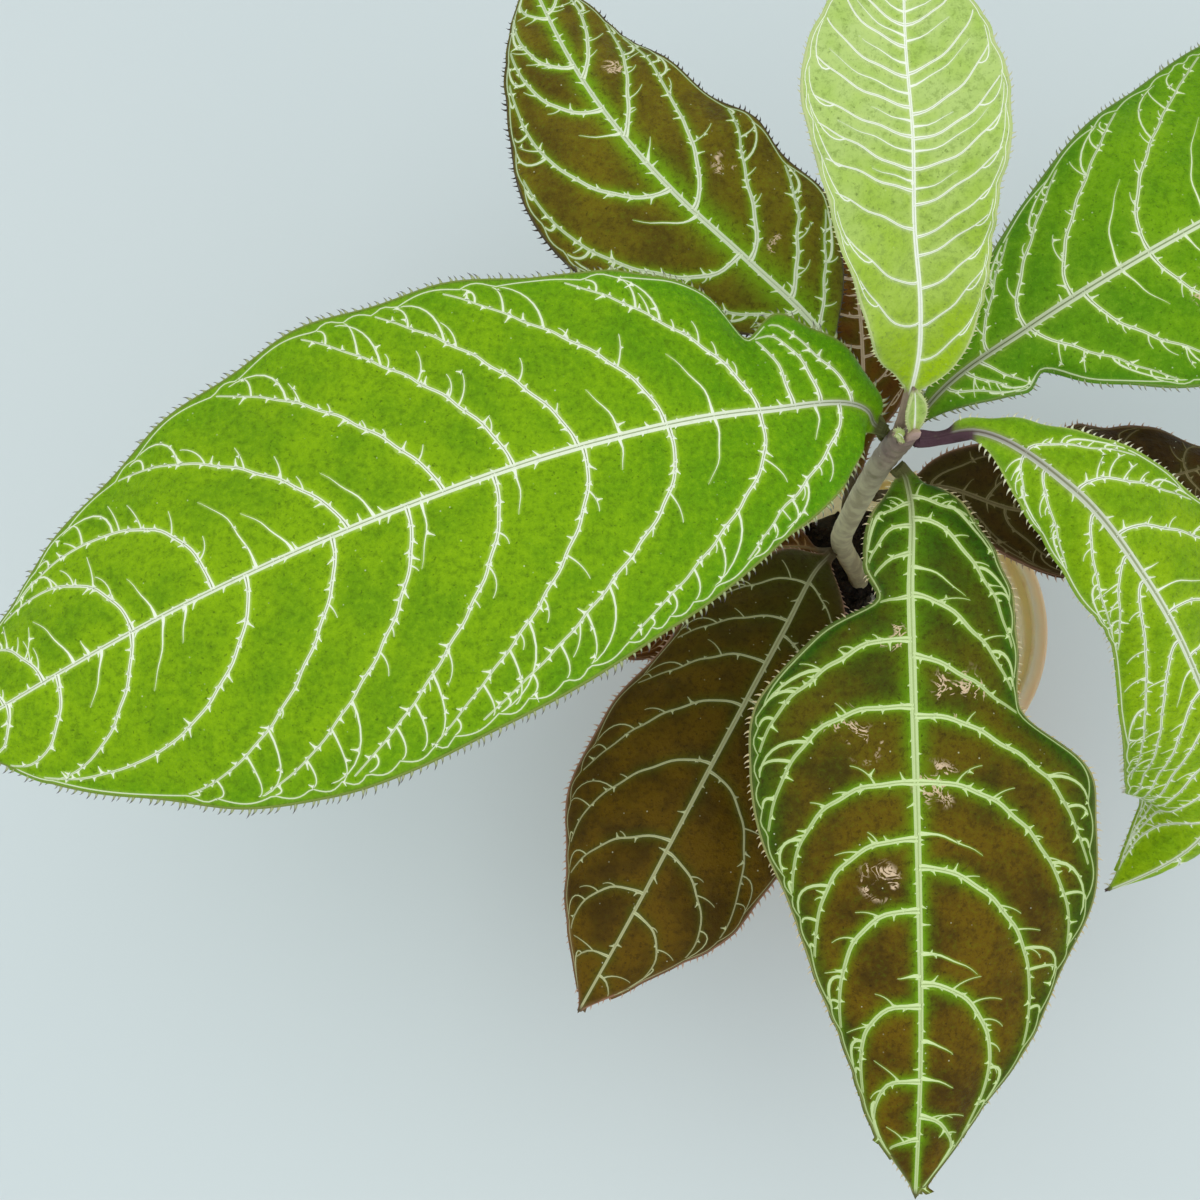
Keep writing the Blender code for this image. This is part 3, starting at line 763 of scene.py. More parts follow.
class Blade:
    """The top surface of one leaf, read at any place in its unrolled plane."""

    STATIONS = 600
    FRILL_STEP = 11.0
    FRILL_REACH = 0.2
    FRILL_SHIFT = 1.3
    STALK_WIDTH = 1.6  # half width at which the stalk ends, by the midrib's radius
    STALK_FADE = 0.4

    def __init__(self, shape: LeafShape) -> None:
        """Works out the leaf's cross sections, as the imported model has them.

        Args:
            shape: The leaf.
        """
        self.shape = shape
        start, out = self.seat(shape)
        lead = min(LEAD, 0.4 * np.linalg.norm(np.array(shape.rib[0]) - start))
        self.rib, self.length = even_curve([start, start + out * lead, *shape.rib], self.STATIONS)
        self.u = np.linspace(0, 1, self.STATIONS + 1)
        tangent = np.gradient(self.rib, axis=0)
        tangent[0] = out
        self.tangent = unit(tangent)
        self.across = unit(np.stack([-self.tangent[:, 1], self.tangent[:, 0], 0 * self.u], axis=1))
        self.up = np.cross(self.tangent, self.across)
        self.radius = shape.rib_radius * (1 + (RIB_TIP - 1) * self.u)
        self.halves = {side: self.half(side) for side in (1, -1)}
        fade = np.sin(pi * self.u) ** MARGIN_FADE
        self.wave = shape.wave * fade * np.sin(2 * pi * shape.waves * self.u + shape.phase)

    @staticmethod
    def seat(shape: LeafShape) -> tuple[Array, Array]:
        """Where a leaf's stalk starts.

        Args:
            shape: The leaf.

        Returns:
            The place, and the direction in which the stalk leaves the stem.
        """
        turn = radians(shape.azimuth)
        out = np.array([cos(turn), sin(turn), 0.0])
        if shape.on_top:
            top = np.array(STEM_AXIS[-1])
            return top + np.array([*shape.on_top, TOP_PLAY]), out * TOP_SLOPE + np.array([0, 0, 1.0])
        foot = shape.height - BLADE - KEEL * shape.rib_radius
        lean = max(0.0, (stem_middle(foot) - stem_middle(shape.height)) @ out)
        return stem_middle(shape.height) + out * (STEM_RADIUS + SEAT_GAP + lean), out

    def half(self, side: int) -> Array:
        """One half of the blade.

        Args:
            side: 1 for the left half and -1 for the right one.

        Returns:
            Half width, tilt, curl and drop of the margin, one row each.
        """
        shape, u = self.shape, self.u
        left = side > 0
        width = blend(shape.left if left else shape.right, u)
        drop = np.zeros_like(u)
        for notch in shape.notches:
            if notch.side == side:
                dent = bell((u - notch.place) * self.length, notch.reach)
                width = width - notch.depth * dent
                drop = drop + notch.drop * dent
        tilt = np.radians(blend(shape.tilt_left if left else shape.tilt_right or shape.tilt_left, u))
        curl = np.radians(blend(shape.curl_left if left else shape.curl_right, u))
        return np.stack([np.maximum(width, STALK_EDGE * self.radius), tilt, curl, drop])

    def at(self, along: Array, values: Array) -> Array:
        """Values of the stations, read between them.

        Args:
            along: Distances along the midrib.
            values: A number or a row for each station.

        Returns:
            A number or a row for each distance.
        """
        u = np.clip(along / self.length, 0, 1)
        if values.ndim == 1:
            return np.interp(u, self.u, values)
        return read_rows(u, self.u, values)

    def width(self, along: Array, side: int) -> Array:
        """The half width of one side at distances along the midrib."""
        return self.at(along, self.halves[side][0])

    def width_at(self, along: Array, aside: Array) -> Array:
        """The half width on the side on which each place lies."""
        return np.where(aside >= 0, self.width(along, 1), self.width(along, -1))

    def share(self, along: Array, aside: Array) -> Array:
        """How far places lie from the midrib to the margin, from 0 to 1."""
        return np.abs(aside) / self.width_at(along, aside)

    def slender(self, along: Array, width: Array) -> Array:
        """A half width by the midrib's radius, which is little more than 1 along the stalk."""
        return width / self.at(along, self.radius)

    def stalk(self, along: Array, width: Array) -> Array:
        """How much of a stalk the leaf is at a distance, from its half width there, 0 to 1."""
        return np.clip((self.STALK_WIDTH - self.slender(along, width)) / self.STALK_FADE, 0, 1)

    def place(self, along: Array, aside: Array) -> tuple[Array, Array]:
        """Points on the top of the blade.

        Args:
            along: Distances along the midrib.
            aside: Distances aside from it, left positive.

        Returns:
            The points and the normals there.
        """
        left = aside >= 0
        side = np.where(left, 1.0, -1.0)
        both = zip(self.halves[1], self.halves[-1])
        width, tilt, curl, drop = (
            np.where(left, self.at(along, a), self.at(along, b)) for a, b in both
        )
        share = np.abs(aside) / width
        angle = tilt + curl * share
        out = (np.sin(angle) - np.sin(tilt)) * width / curl
        rise = (np.cos(tilt) - np.cos(angle)) * width / curl
        flat = self.at(along, self.across) * side[..., None]
        up = self.at(along, self.up)
        normal = up * np.cos(angle)[..., None] - flat * np.sin(angle)[..., None]
        wave = (self.at(along, self.wave) * side - drop) * share**2 + self.frill(along, side) * share**3
        point = self.at(along, self.rib) + flat * out[..., None] + up * rise[..., None]
        return point + normal * wave[..., None], normal

    def frill(self, along: Array, side: Array) -> Array:
        """The tight waves of the margin near the stalk.

        Args:
            along: Distances along the midrib.
            side: 1 for left and -1 for right.

        Returns:
            How far the margin rises, in mm.
        """
        fade = bell(along / self.length, self.FRILL_REACH)
        turn = 2 * pi * along / self.FRILL_STEP + self.FRILL_SHIFT * side
        return self.shape.frill * fade * np.sin(turn)


class Venation:
    """The veins of one leaf, laid out in its unrolled plane."""

    JOIN = 0.945  # share of the half width at which the side veins meet the thin edge vein
    STEP = 1.5  # between the places of a path, in mm
    NARROW = 2.5  # half width below which a half has no side veins
    WIDE = 20.0  # half width from which side veins have their full thickness
    FLARE = 0.6  # how much a side vein widens at the midrib, by its thickness
    FLARE_REACH = 1.9
    UNEVEN = 2.2  # change of the half width past which a side vein has no branches
    RIPPLE = 0.3  # how far a side vein ripples forwards and back
    RIPPLE_REACH = 1.6
    HOOKS = (2, 5.5)  # fewest and most hooks on a side vein
    HOOKED = (0.12, 0.58)  # where on the vein they start, and the share of it that has them
    HOOK_TURN = (45, 85)  # degrees by which a hook turns off the vein
    HOOK_BEND = (25, 80)  # and by which it then bends back
    HOOK_STEPS = 7
    HOOK_SIZES = np.array([(2.5, 4.0, 6.0, 8.0), (0.2, 0.3, 0.3, 0.2)])  # lengths and their chances
    HOOK_HALF = 0.17
    LINKED = (0.62, 0.74)  # where the first link leaves a side vein, by the half width
    FIRST_LINK = (6, 14)  # how far forward it runs
    NEXT_LINK = (0.5, 3.5)  # and the later ones
    LINK_STEP = (6, 10)
    LINK_SAG = 0.8  # how far a link dips towards the stem on its way
    LAST_JOIN = 0.985  # where the last links end, by length
    FINE_TAPER = 0.6  # how much narrower a fine vein ends than it starts
    FINE_FLARE = 0.8  # how far its widened start reaches
    SCALLOP = 4.5  # least length of a scallop of the edge vein
    BULGE = 0.028  # how far a scallop bulges, by the half width
    EDGE_HALF = 0.15
    STUB_SIZES = np.array([(0.7, 1.1, 1.6, 2.4), (0.35, 0.35, 0.2, 0.1)])  # lengths and their chances
    STUB_ROWS = np.array([0.12, 0.45, 1.0])  # places on a stub, by its length
    STUB_HALVES = np.array([0.7, 0.3, 0.13, 0.03])  # half widths at its foot and at those places
    STUB_LEAN = 0.9  # how far a stub leans along its vein at most
    STUBBED = (0.1, 0.94)  # the part of the midrib that has stubs, by length
    FEW_STUBS = 0.3  # how likely a place of a finer vein has a stub

    def __init__(self, shape: LeafShape, blade: Blade) -> None:
        """Lays out every vein.

        Args:
            shape: The leaf.
            blade: Its surface.
        """
        self.shape, self.blade = shape, blade
        self.rng = np.random.default_rng(shape.seed)
        self.main: list[Vein] = []
        self.fine: list[Vein] = []
        self.stubs: list[Array] = []
        along = np.arange(1.0, blade.length - 0.5, self.STEP)
        u = along / blade.length
        half = shape.midrib_half * (1.15 - 0.75 * u) * (0.5 + 0.5 * np.clip(u / 0.22, 0, 1))
        self.midrib = Vein(np.stack([along, 0 * along], axis=1), half, 0.25 + 0.3 * u)
        for side, plan in ((1, shape.veins_left), (-1, shape.veins_right)):
            if plan is None:
                continue
            self.joins: list[float] = []
            for course in plan.main:
                self.side_vein(side, course, 1.0)
            for start, reach in plan.middle:
                _, end, bend = min(plan.main, key=lambda vein: abs(vein[0] - start))
                near = min(vein[0] for vein in plan.main if vein[1] == end)
                self.side_vein(side, (start, start + end - near, bend), reach)
            self.edge_vein(side)
        if shape.veins_left:
            keep = slice(*(int(place * len(along)) for place in self.STUBBED))
            self.add_stubs(self.midrib.path[keep], 0.8 * half[keep], 1.0)

    def side_vein(self, side: int, course: tuple[float, float, float], reach: float) -> None:
        """Lays one vein from the midrib towards the margin.

        Args:
            side: 1 for left and -1 for right.
            course: Where it starts and would end, and how it bends.
            reach: Share of the half width that it reaches, 1 for a whole vein.
        """
        start, end, bend = course
        wide = float(self.blade.width(start * self.blade.length, side))
        if wide < self.NARROW:
            return
        run = np.linspace(0, min(reach / self.JOIN, 1), 14)
        along = self.blade.length * (start + (end - start) * run**bend)
        path = np.stack([along, side * self.JOIN * run * self.blade.width(along, side)], axis=1)
        size = np.linalg.norm(np.diff(path, axis=0), axis=1).sum()
        path = even_curve(path, max(4, round(size / self.STEP)))[0]
        gone = np.linspace(0, size, len(path))
        run = gone / size
        ripple = np.sin(gone / self.RIPPLE_REACH + self.rng.uniform(0, 6))
        path[:, 0] += self.RIPPLE * ripple * np.sin(pi * run)
        thick = self.shape.vein_half * (0.6 + 0.4 * min(1, wide / self.WIDE))
        flare = self.FLARE * thick * bell(gone, self.FLARE_REACH)
        if reach < 1:
            self.fine.append(Vein(path, 0.5 * thick * (1.02 - run) ** 0.8 + flare, 0.4 * run))
            stubbed = path[1 : len(path) // 2 + 1]
            self.add_stubs(stubbed, np.full(len(stubbed), 0.15), self.FEW_STUBS)
            return
        half = thick * (1 - 0.5 * run**1.3) + flare
        self.main.append(Vein(path, half, run))
        self.joins.append(float(path[-1, 0]))
        self.add_stubs(path[1:-2], half[1:-2], 1.0)
        around = self.blade.width(np.linspace(path[-1, 0] - 5, path[-1, 0] + 9, 8), side)
        if self.shape.branched and np.abs(np.diff(around)).max() < self.UNEVEN:
            self.hooks(side, path, half)
            self.links(side, path, half)

    def hooks(self, side: int, path: Array, half: Array) -> None:
        """Lays the few branches that leave a side vein towards the stem and hook outwards.

        Args:
            side: 1 for left and -1 for right.
            path: The side vein's path.
            half: Its half widths.
        """
        steps = self.HOOK_STEPS
        count = round(self.shape.branched * self.rng.uniform(*self.HOOKS))
        places = (np.arange(count) + self.rng.uniform(0.2, 0.8, count)) / max(count, 1)
        for place in self.HOOKED[0] + self.HOOKED[1] * places:
            i = int(place * (len(path) - 1))
            step = path[i + 1] - path[i]
            turn = radians(self.rng.uniform(*self.HOOK_TURN))
            heading = np.arctan2(step[1] * side, step[0]) + turn
            size = self.rng.choice(self.HOOK_SIZES[0], p=self.HOOK_SIZES[1])
            bend = radians(self.rng.uniform(*self.HOOK_BEND))
            angle = heading - bend * np.arange(steps) / steps
            moves = np.stack([np.cos(angle), side * np.sin(angle)], axis=1) * size / steps
            line = np.vstack([path[i], path[i] + np.cumsum(moves, axis=0)])
            line = line[self.blade.share(*line.T) < self.JOIN]
            if len(line) > 3 and (line[:, 1] * side > 0.3).all():
                self.add_fine(line, 0.7 * half[i], self.HOOK_HALF)

    def links(self, side: int, path: Array, half: Array) -> None:
        """Lays the links that run from the outer part of a side vein to the edge vein.

        Args:
            side: 1 for left and -1 for right.
            path: The side vein's path.
            half: Its half widths.
        """
        share = self.blade.share(*path.T)
        i = int(np.searchsorted(share, self.rng.uniform(*self.LINKED)))
        forward = self.rng.uniform(*self.FIRST_LINK)
        while i < len(path) - 2:
            turn = np.linspace(0, pi / 2, 9)
            reach = share[i] + (self.JOIN - share[i]) * np.sin(turn)
            along = path[i, 0] + forward * (1 - np.cos(turn)) - self.LINK_SAG * np.sin(2 * turn)
            along = np.minimum(along, self.LAST_JOIN * self.blade.length)
            link = np.stack([along, side * reach * self.blade.width(along, side)], axis=1)
            self.add_fine(link, 0.9 * half[i], self.shape.link_half)
            self.joins.append(float(along[-1]))
            i += round(self.rng.uniform(*self.LINK_STEP) / self.STEP)
            forward = self.rng.uniform(*self.NEXT_LINK)

    def add_fine(self, path: Array, root: float, thin: float) -> None:
        """Adds a fine vein that widens into the vein it leaves.

        Args:
            path: Its path.
            root: Its half width at the start.
            thin: Its half width along the rest.
        """
        gone = run_along(path)
        run = gone / max(gone[-1], 0.1)
        half = thin * (1 - self.FINE_TAPER * run) + (root - thin) * np.exp(-gone / self.FINE_FLARE)
        self.fine.append(Vein(path, half, 0.3 + 0.4 * run))
        if gone[-1] > 4:
            self.add_stubs(path[1:], half[1:], self.FEW_STUBS)

    def edge_vein(self, side: int) -> None:
        """Lays the thin scalloped vein just inside one margin.

        Args:
            side: 1 for left and -1 for right.
        """
        joins: list[float] = []
        for place in sorted(self.joins):
            if not joins or place - joins[-1] > self.SCALLOP:
                joins.append(place)
        if len(joins) < 3 or not self.shape.branched:
            return
        along = np.arange(joins[0], joins[-1], 1.2)
        bulge = np.abs(np.sin(pi * np.interp(along, joins, np.arange(len(joins)))))
        share = side * (self.JOIN + self.BULGE * bulge)
        path = np.stack([along, share * self.blade.width(along, side)], axis=1)
        half = min(self.EDGE_HALF, 0.6 * self.shape.link_half)
        self.fine.append(Vein(path, np.full(len(path), half), np.full(len(path), 0.9)))

    def add_stubs(self, path: Array, half: Array, chance: float) -> None:
        """Sets short pointed stubs on both sides of a vein.

        Args:
            path: The vein's path.
            half: Its half widths.
            chance: How likely a place has a stub.
        """
        gone = run_along(path)
        count = int(gone[-1] / self.shape.stub_step)
        if count < 1:
            return
        ahead = unit(np.gradient(path, axis=0))
        for turn in (1, -1):
            at = (np.arange(count) + self.rng.uniform(0, 1, count)) * gone[-1] / count
            at = at[self.rng.uniform(0, 1, count) < chance]
            foot, way = read_rows(at, gone, path), read_rows(at, gone, ahead)
            wide = np.interp(at, gone, half)[:, None]
            lean = self.rng.uniform(0, self.STUB_LEAN, (len(at), 1))
            out = unit(turned_left(way) * turn + way * lean)
            size = self.rng.choice(self.STUB_SIZES[0], (len(at), 1), p=self.STUB_SIZES[1])
            far = np.hstack([0.5 * wide, wide + size * self.STUB_ROWS])
            self.stubs.append(foot[:, None] + out[:, None] * far[..., None])


class Field:
    """Distances to the nearest of many places in a leaf's unrolled plane."""

    def __init__(self, veins: list[Vein], name: str) -> None:
        """Keeps dense places along veins.

        Args:
            veins: The veins.
            name: Which of their numbers to keep with each place.
        """
        places, values = [np.array([[-99.0, 0.0]])], [np.array([1.0])]
        for vein in veins:
            grid = np.arange(len(vein.path))
            fine = np.linspace(0, grid[-1], 3 * len(grid))
            places.append(read_rows(fine, grid, vein.path))
            values.append(np.interp(fine, grid, getattr(vein, name)))
        places, self.values = np.concatenate(places), np.concatenate(values)
        self.tree = kdtree.KDTree(len(places))
        for k, (x, y) in enumerate(places.tolist()):
            self.tree.insert((x, y, 0), k)
        self.tree.balance()

    def near(self, flat: Array) -> tuple[Array, Array]:
        """The nearest kept places.

        Args:
            flat: Places in the unrolled plane.

        Returns:
            The distance to the nearest kept place from each, and the number kept with it.
        """
        found = [self.tree.find((x, y, 0))[1:] for x, y in flat.reshape(-1, 2).tolist()]
        index, away = (np.array(part).reshape(flat.shape[:-1]) for part in zip(*found))
        return away, self.values[index]


class LeafSlot(IntEnum):
    """The material slots of a leaf."""

    TOP = 0
    UNDERSIDE = 1
    VEIN = 2
    BRISTLE = 3


class LeafDress:
    """The four materials of a leaf, made once for each finish."""

    SCAR = tone(216, 190, 156)
    DUST = tone(236, 240, 206)

    made: dict[str, list[Material]] = {}

    @classmethod
    def of(cls, finish: LeafFinish) -> list[Material]:
        """The materials of a finish.

        Args:
            finish: The finish.

        Returns:
            Its materials by leaf slot.
        """
        if finish.name not in cls.made:
            makers = (cls.top, cls.underside, cls.vein, cls.bristle)
            cls.made[finish.name] = [make(finish) for make in makers]
        return cls.made[finish.name]

    @classmethod
    def top(cls, look: LeafFinish) -> Material:
        """The upper side: cloudy, finely mottled colour, paler along the veins, with dust and scars.

        Args:
            look: The leaf's colours.

        Returns:
            The material.
        """
        m = Finish(f"{look.name} top")
        cloud, grain = m.noise(0.014, 3, 0.6), m.noise(0.0016, 4, 0.8)
        pits = m.noise(0.0009, 2, 0.6)
        colour = m.mix(look.lamina, look.cloud, cloud.between(0.38, 0.66))
        green = m.attribute("base") + m.attribute("edge") * look.edge
        colour = m.mix(colour, look.base, (green * (0.7 + 0.6 * cloud)).clipped())
        halo = m.attribute("halo") * (0.5 + cloud) * look.halo_strength
        halo = halo * (1 - 0.5 * m.attribute("base"))
        colour = m.mix(colour, look.halo, halo.clipped())
        dull, dark = (tuple(share * part for part in look.cloud) for share in (0.55, 0.3))
        colour = m.mix(colour, dull, grain.between(0.48, 0.66) * 0.55)
        colour = m.mix(colour, look.halo, (1 - grain.between(0.32, 0.5)) * look.mottle)
        colour = m.mix(colour, dark, pits.between(0.62, 0.74) * 0.6)
        colour = m.mix(colour, look.glow, m.attribute("glow") * 0.7)
        colour = m.mix(colour, look.rim, m.attribute("rim") * 0.4)
        line = abs(m.noise(0.0045, 3, 0.6, 2.0) - 0.5)
        patch = m.noise(0.005, 2).between(0.45, 0.55)
        scar = m.attribute("scar").between(0.2, 0.5) * (1 - line.between(0.02, 0.05)) * patch
        colour = m.mix(colour, cls.SCAR, scar)
        dust = (1 - m.cells(0.003, "F1").between(0.03, 0.08)) * m.noise(0.009).between(0.45, 0.6)
        colour = m.mix(colour, cls.DUST, dust * look.dust)
        colour = m.mix(colour, look.stalk, m.attribute("stalk"))
        height = grain + 0.5 * pits + m.noise(0.004, 2)
        rough = look.roughness + 0.2 * (grain - 0.5)
        return m.close(colour, rough, m.relief(height, 0.0004), Specular_IOR_Level=0.1)

    @staticmethod
    def underside(look: LeafFinish) -> Material:
        """The lower side: duller, with the net of veins standing out.

        Args:
            look: The leaf's colours.

        Returns:
            The material.
        """
        m = Finish(f"{look.name} underside")
        grain, net = m.noise(0.002, 3), 1 - m.cells(0.0024).between(0.0, 0.12)
        colour = m.mix(look.underside, look.cloud, 0.35 * m.noise(0.014))
        colour = m.mix(colour, look.vein_end, 0.22 * net)
        colour = m.mix(colour, look.stalk, m.attribute("stalk"))
        relief = m.relief(grain + net, 0.0002)
        return m.close(colour, 0.55 + 0.1 * grain, relief, Specular_IOR_Level=0.15)

    @staticmethod
    def vein(look: LeafFinish) -> Material:
        """The raised veins and the rim: pale, duller towards the margin, creased along the middle.

        Args:
            look: The leaf's colours.

        Returns:
            The material.
        """
        m = Finish(f"{look.name} vein")
        grain = m.noise(0.0012, 3)
        fade = m.attribute("fade")
        colour = m.mix(look.vein, look.vein_end, fade)
        colour = m.mix(colour, look.crease, m.attribute("crease") * (1 - 0.7 * fade))
        colour = m.mix(colour, look.rim, m.attribute("rimmed"))
        colour = m.mix(colour, look.stalk, m.attribute("stalk"))
        colour = m.mix(colour, look.crease, grain.between(0.55, 0.8) * 0.2)
        relief = m.relief(grain, 0.00012)
        return m.close(colour, 0.5 + 0.1 * grain, relief, Specular_IOR_Level=0.15)

    @staticmethod
    def bristle(look: LeafFinish) -> Material:
        """The bristles: one colour at the root and another at the point.

        Args:
            look: The leaf's colours.

        Returns:
            The material.
        """
        m = Finish(f"{look.name} bristle")
        colour = m.mix(look.bristle, look.bristle_tip, m.attribute("reach").between(0.2, 0.8))
        return m.close(colour, 0.5 + 0.1 * m.noise(0.001), Specular_IOR_Level=0.2)


@dataclass
class Leaf:
    """One whole leaf: blade, veins, stubs, rim and bristles in one mesh."""

    shape: LeafShape
    bristles: Tree
    puff: float = 0.75  # how high the blade swells between its side veins
    puff_reach: float = 4.0
    rim_step: float = 1.3

    NEAR = np.array([0, 0.35, 0.7, 1.05])  # places across the midrib's groove, by its radius
    SINK = -0.07  # height of a raised vein's outer sides and of its end, just below the blade

    # The left half of a raised vein from its outside to its middle: place by half width and beyond
    # it, height by half width and beyond it, crease. Its two outer strips lie on the blade and carry
    # the glow beside the vein.
    WIDE = np.array([
        (1, 1.0, 0, SINK, 0),
        (1, 0.6, 0, 0.05, 0),
        (1, 0, 0, 0.08, 0),
        (0.6, 0, 0.35, 0.1, 0),
        (0.3, 0, 0.42, 0.1, 0),
        (0.1, 0, 0.2, 0.06, 1),
    ])
    SLIM = np.array([
        (1, 0.75, 0, SINK, 0), (1, 0.4, 0, 0.05, 0), (1, 0, 0, 0.08, 0), (0, 0, 0.5, 0.1, 0)
    ])
    # The ridge below a side vein: place and depth, by the vein's half width
    RIDGE = np.array([(-1, -0.4), (-0.6, 0.5), (0, 0.8), (0.6, 0.5), (1, -0.4)])
    # The rim from the blade's top round to its underside: outwards and up
    RIM = ((-0.4, 0.04), (-0.05, 0.1), (0.16, -0.2), (0.16, -0.5), (-0.05, -0.8), (-0.4, -0.72))
    GLOW_REACH = 0.32
    RIM_REACH = 0.9  # how far the rim's colour reaches into the blade
    EDGE_REACH = 0.16  # and the base colour along the margin, by the half width
    TOOTHED = 1.35  # half width from which the margin has bristles, by the midrib's radius
    BASE_TEETH_REACH = 0.16  # how far the larger bristles near the stalk reach, by length
    JITTER = 0.25  # how far a bristle stands off its place, by their step
    LEAN = (-0.1, 0.35)  # how far it leans forwards
    LIFT = (-0.2, 0.4)  # and upwards
    ROOT = 0.3  # how deep it starts below the blade's top

    def build(self) -> Object:
        """Makes the leaf.

        Returns:
            The finished piece.
        """
        self.blade = Blade(self.shape)
        self.venation = Venation(self.shape, self.blade)
        self.rng = np.random.default_rng(self.shape.seed + 50)
        self.parts = Parts()
        veins = self.venation
        self.sides = Field(veins.main, "fade")
        stubs = np.concatenate(veins.stubs) if veins.stubs else np.zeros((0, 4, 2))
        halves = np.tile(veins.STUB_HALVES, (len(stubs), 1))
        lines = [Vein(path, half, half) for path, half in zip(stubs, halves)]
        self.lines = Field([veins.midrib, *veins.main, *veins.fine, *lines], "half")
        self.blade_faces()
        for vein in [veins.midrib, *veins.main]:
            self.raise_veins(vein.path[None], vein.half[None], vein.fade[None], self.WIDE)
            if vein is not veins.midrib:
                self.raise_below(vein)
        for vein in veins.fine:
            self.raise_veins(vein.path[None], vein.half[None], vein.fade[None], self.SLIM)
        if len(stubs):
            self.raise_veins(stubs, halves, 0 * halves + 0.2, self.SLIM)
        for side in (1, -1):
            self.rim(side)
        materials = LeafDress.of(self.shape.finish)
        self.margin_bristles(materials[LeafSlot.BRISTLE])
        piece = self.parts.build(f"{self.shape.node}_full", materials)
        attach(piece, "root")
        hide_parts(self.shape.node)
        return piece

    def surface(self, flat: Array) -> tuple[Array, Array]:
        """Points on the blade with its soft swelling between the veins.

        Args:
            flat: Places in the unrolled plane.

        Returns:
            The points and the normals there.
        """
        along, aside = flat[..., 0], flat[..., 1]
        point, normal = self.blade.place(along, aside)
        away = np.minimum(self.sides.near(flat)[0], np.abs(aside))
        swell = self.puff * (1 - bell(away, self.puff_reach))
        swell = swell * (1 - np.clip(self.blade.share(along, aside), 0, 1) ** 4)
        return point + normal * swell[..., None], normal

    def blade_faces(self) -> None:
        """Adds the blade: top and underside 0.7 mm apart, the keeled rib, and closed edges."""
        blade, shape = self.blade, self.shape
        rows = max(8, ceil(blade.length / shape.spacing))
        along = np.linspace(0, blade.length, rows + 1)[:-1]
        radius = blade.at(along, blade.radius)
        outer = max(4, ceil(max(shape.left + shape.right) / shape.spacing))
        inner = self.NEAR * radius[:, None]
        step = np.linspace(0, 1, outer + 1)[1:]
        left, right = (
            np.hstack([inner, inner[:, -1:] + (wide[:, None] - inner[:, -1:]) * step]) * side
            for side, wide in ((side, blade.width(along, side)) for side in (1, -1))
        )
        aside = np.hstack([left[:, ::-1], right[:, 1:]])
        columns = aside.shape[1]
        flat = np.stack([np.repeat(along[:, None], columns, axis=1), aside], axis=-1)
        point, normal = self.surface(flat)
        hump = np.clip(1 - (np.abs(aside) / inner[:, -1:]) ** 2, 0, 1)[..., None]
        normal = unit(normal * (1 - hump) + blade.at(flat[..., 0], blade.up) * hump)
        thick = radius[:, None, None]
        top = point - normal * GROOVE * thick * hump**2
        low = point - normal * (BLADE + KEEL * thick * hump**0.9)
        grid = strip_faces(rows, columns)
        under, last = rows * columns, (rows - 1) * columns  # first of the underside, of the last row
        end = 2 * under  # the tip
        j = np.arange(columns - 1)
        i = np.arange(rows - 1) * columns
        k = i + columns - 1
        corner = last + columns - 1
        faces = [
            grid,
            np.stack([last + j, last + j + 1, np.full_like(j, end)], axis=1),
            np.stack([i, i + columns, i + columns + under, i + under], axis=1),
            np.stack([k, k + under, k + columns + under, k + columns], axis=1),
            np.stack([j, under + j, under + j + 1, j + 1], axis=1),
            np.array([[last, end, last + under], [corner, corner + under, end]]),
            grid[:, ::-1] + under,
            np.stack([under + last + j + 1, under + last + j, np.full_like(j, end)], axis=1),
        ]
        counts = [len(block) for block in faces]
        slots = np.repeat([LeafSlot.TOP] * 6 + [LeafSlot.UNDERSIDE] * 2, counts)
        numbers = {
            name: np.concatenate([values.ravel(), values.ravel(), values[-1, :1]])
            for name, values in self.numbers(flat).items()
        }
        points = np.concatenate([top.reshape(-1, 3), low.reshape(-1, 3), blade.rib[-1:]])
        self.parts.add(points, faces, slots, **numbers)

    def numbers(self, flat: Array) -> dict[str, Array]:
        """What the blade's colour follows.

        Args:
            flat: Places in the unrolled plane.

        Returns:
            Numbers from 0 to 1 by name.
        """
        shape, blade = self.shape, self.blade
        along, aside = flat[..., 0], flat[..., 1]
        away, fade = self.sides.near(flat)
        u = along / blade.length
        midrib = bell(aside, shape.midrib_halo * (1.3 - u))
        beside = (1 - 0.75 * fade) * bell(away, shape.side_halo * (1.2 - 0.6 * fade))
        width = blade.width_at(along, aside)
        lengthwise, across = u / shape.brown_reach, aside / (1.2 * shape.midrib_half)
        brown = 0.9 * np.exp(-(lengthwise**2) - across**2)
        scar = np.zeros_like(u)
        for place, share, reach in shape.scars:
            gap = np.hypot(along - place * blade.length, aside - share * width)
            scar = np.maximum(scar, bell(gap, reach))
        return {
            "halo": np.maximum(midrib, beside),
            "rim": bell(width - np.abs(aside), self.RIM_REACH),
            "edge": bell(1 - np.abs(aside) / width, self.EDGE_REACH),
            "base": bell(u, shape.base_reach),
            "stalk": np.maximum(blade.stalk(along, width), brown),
            "scar": scar,
        }

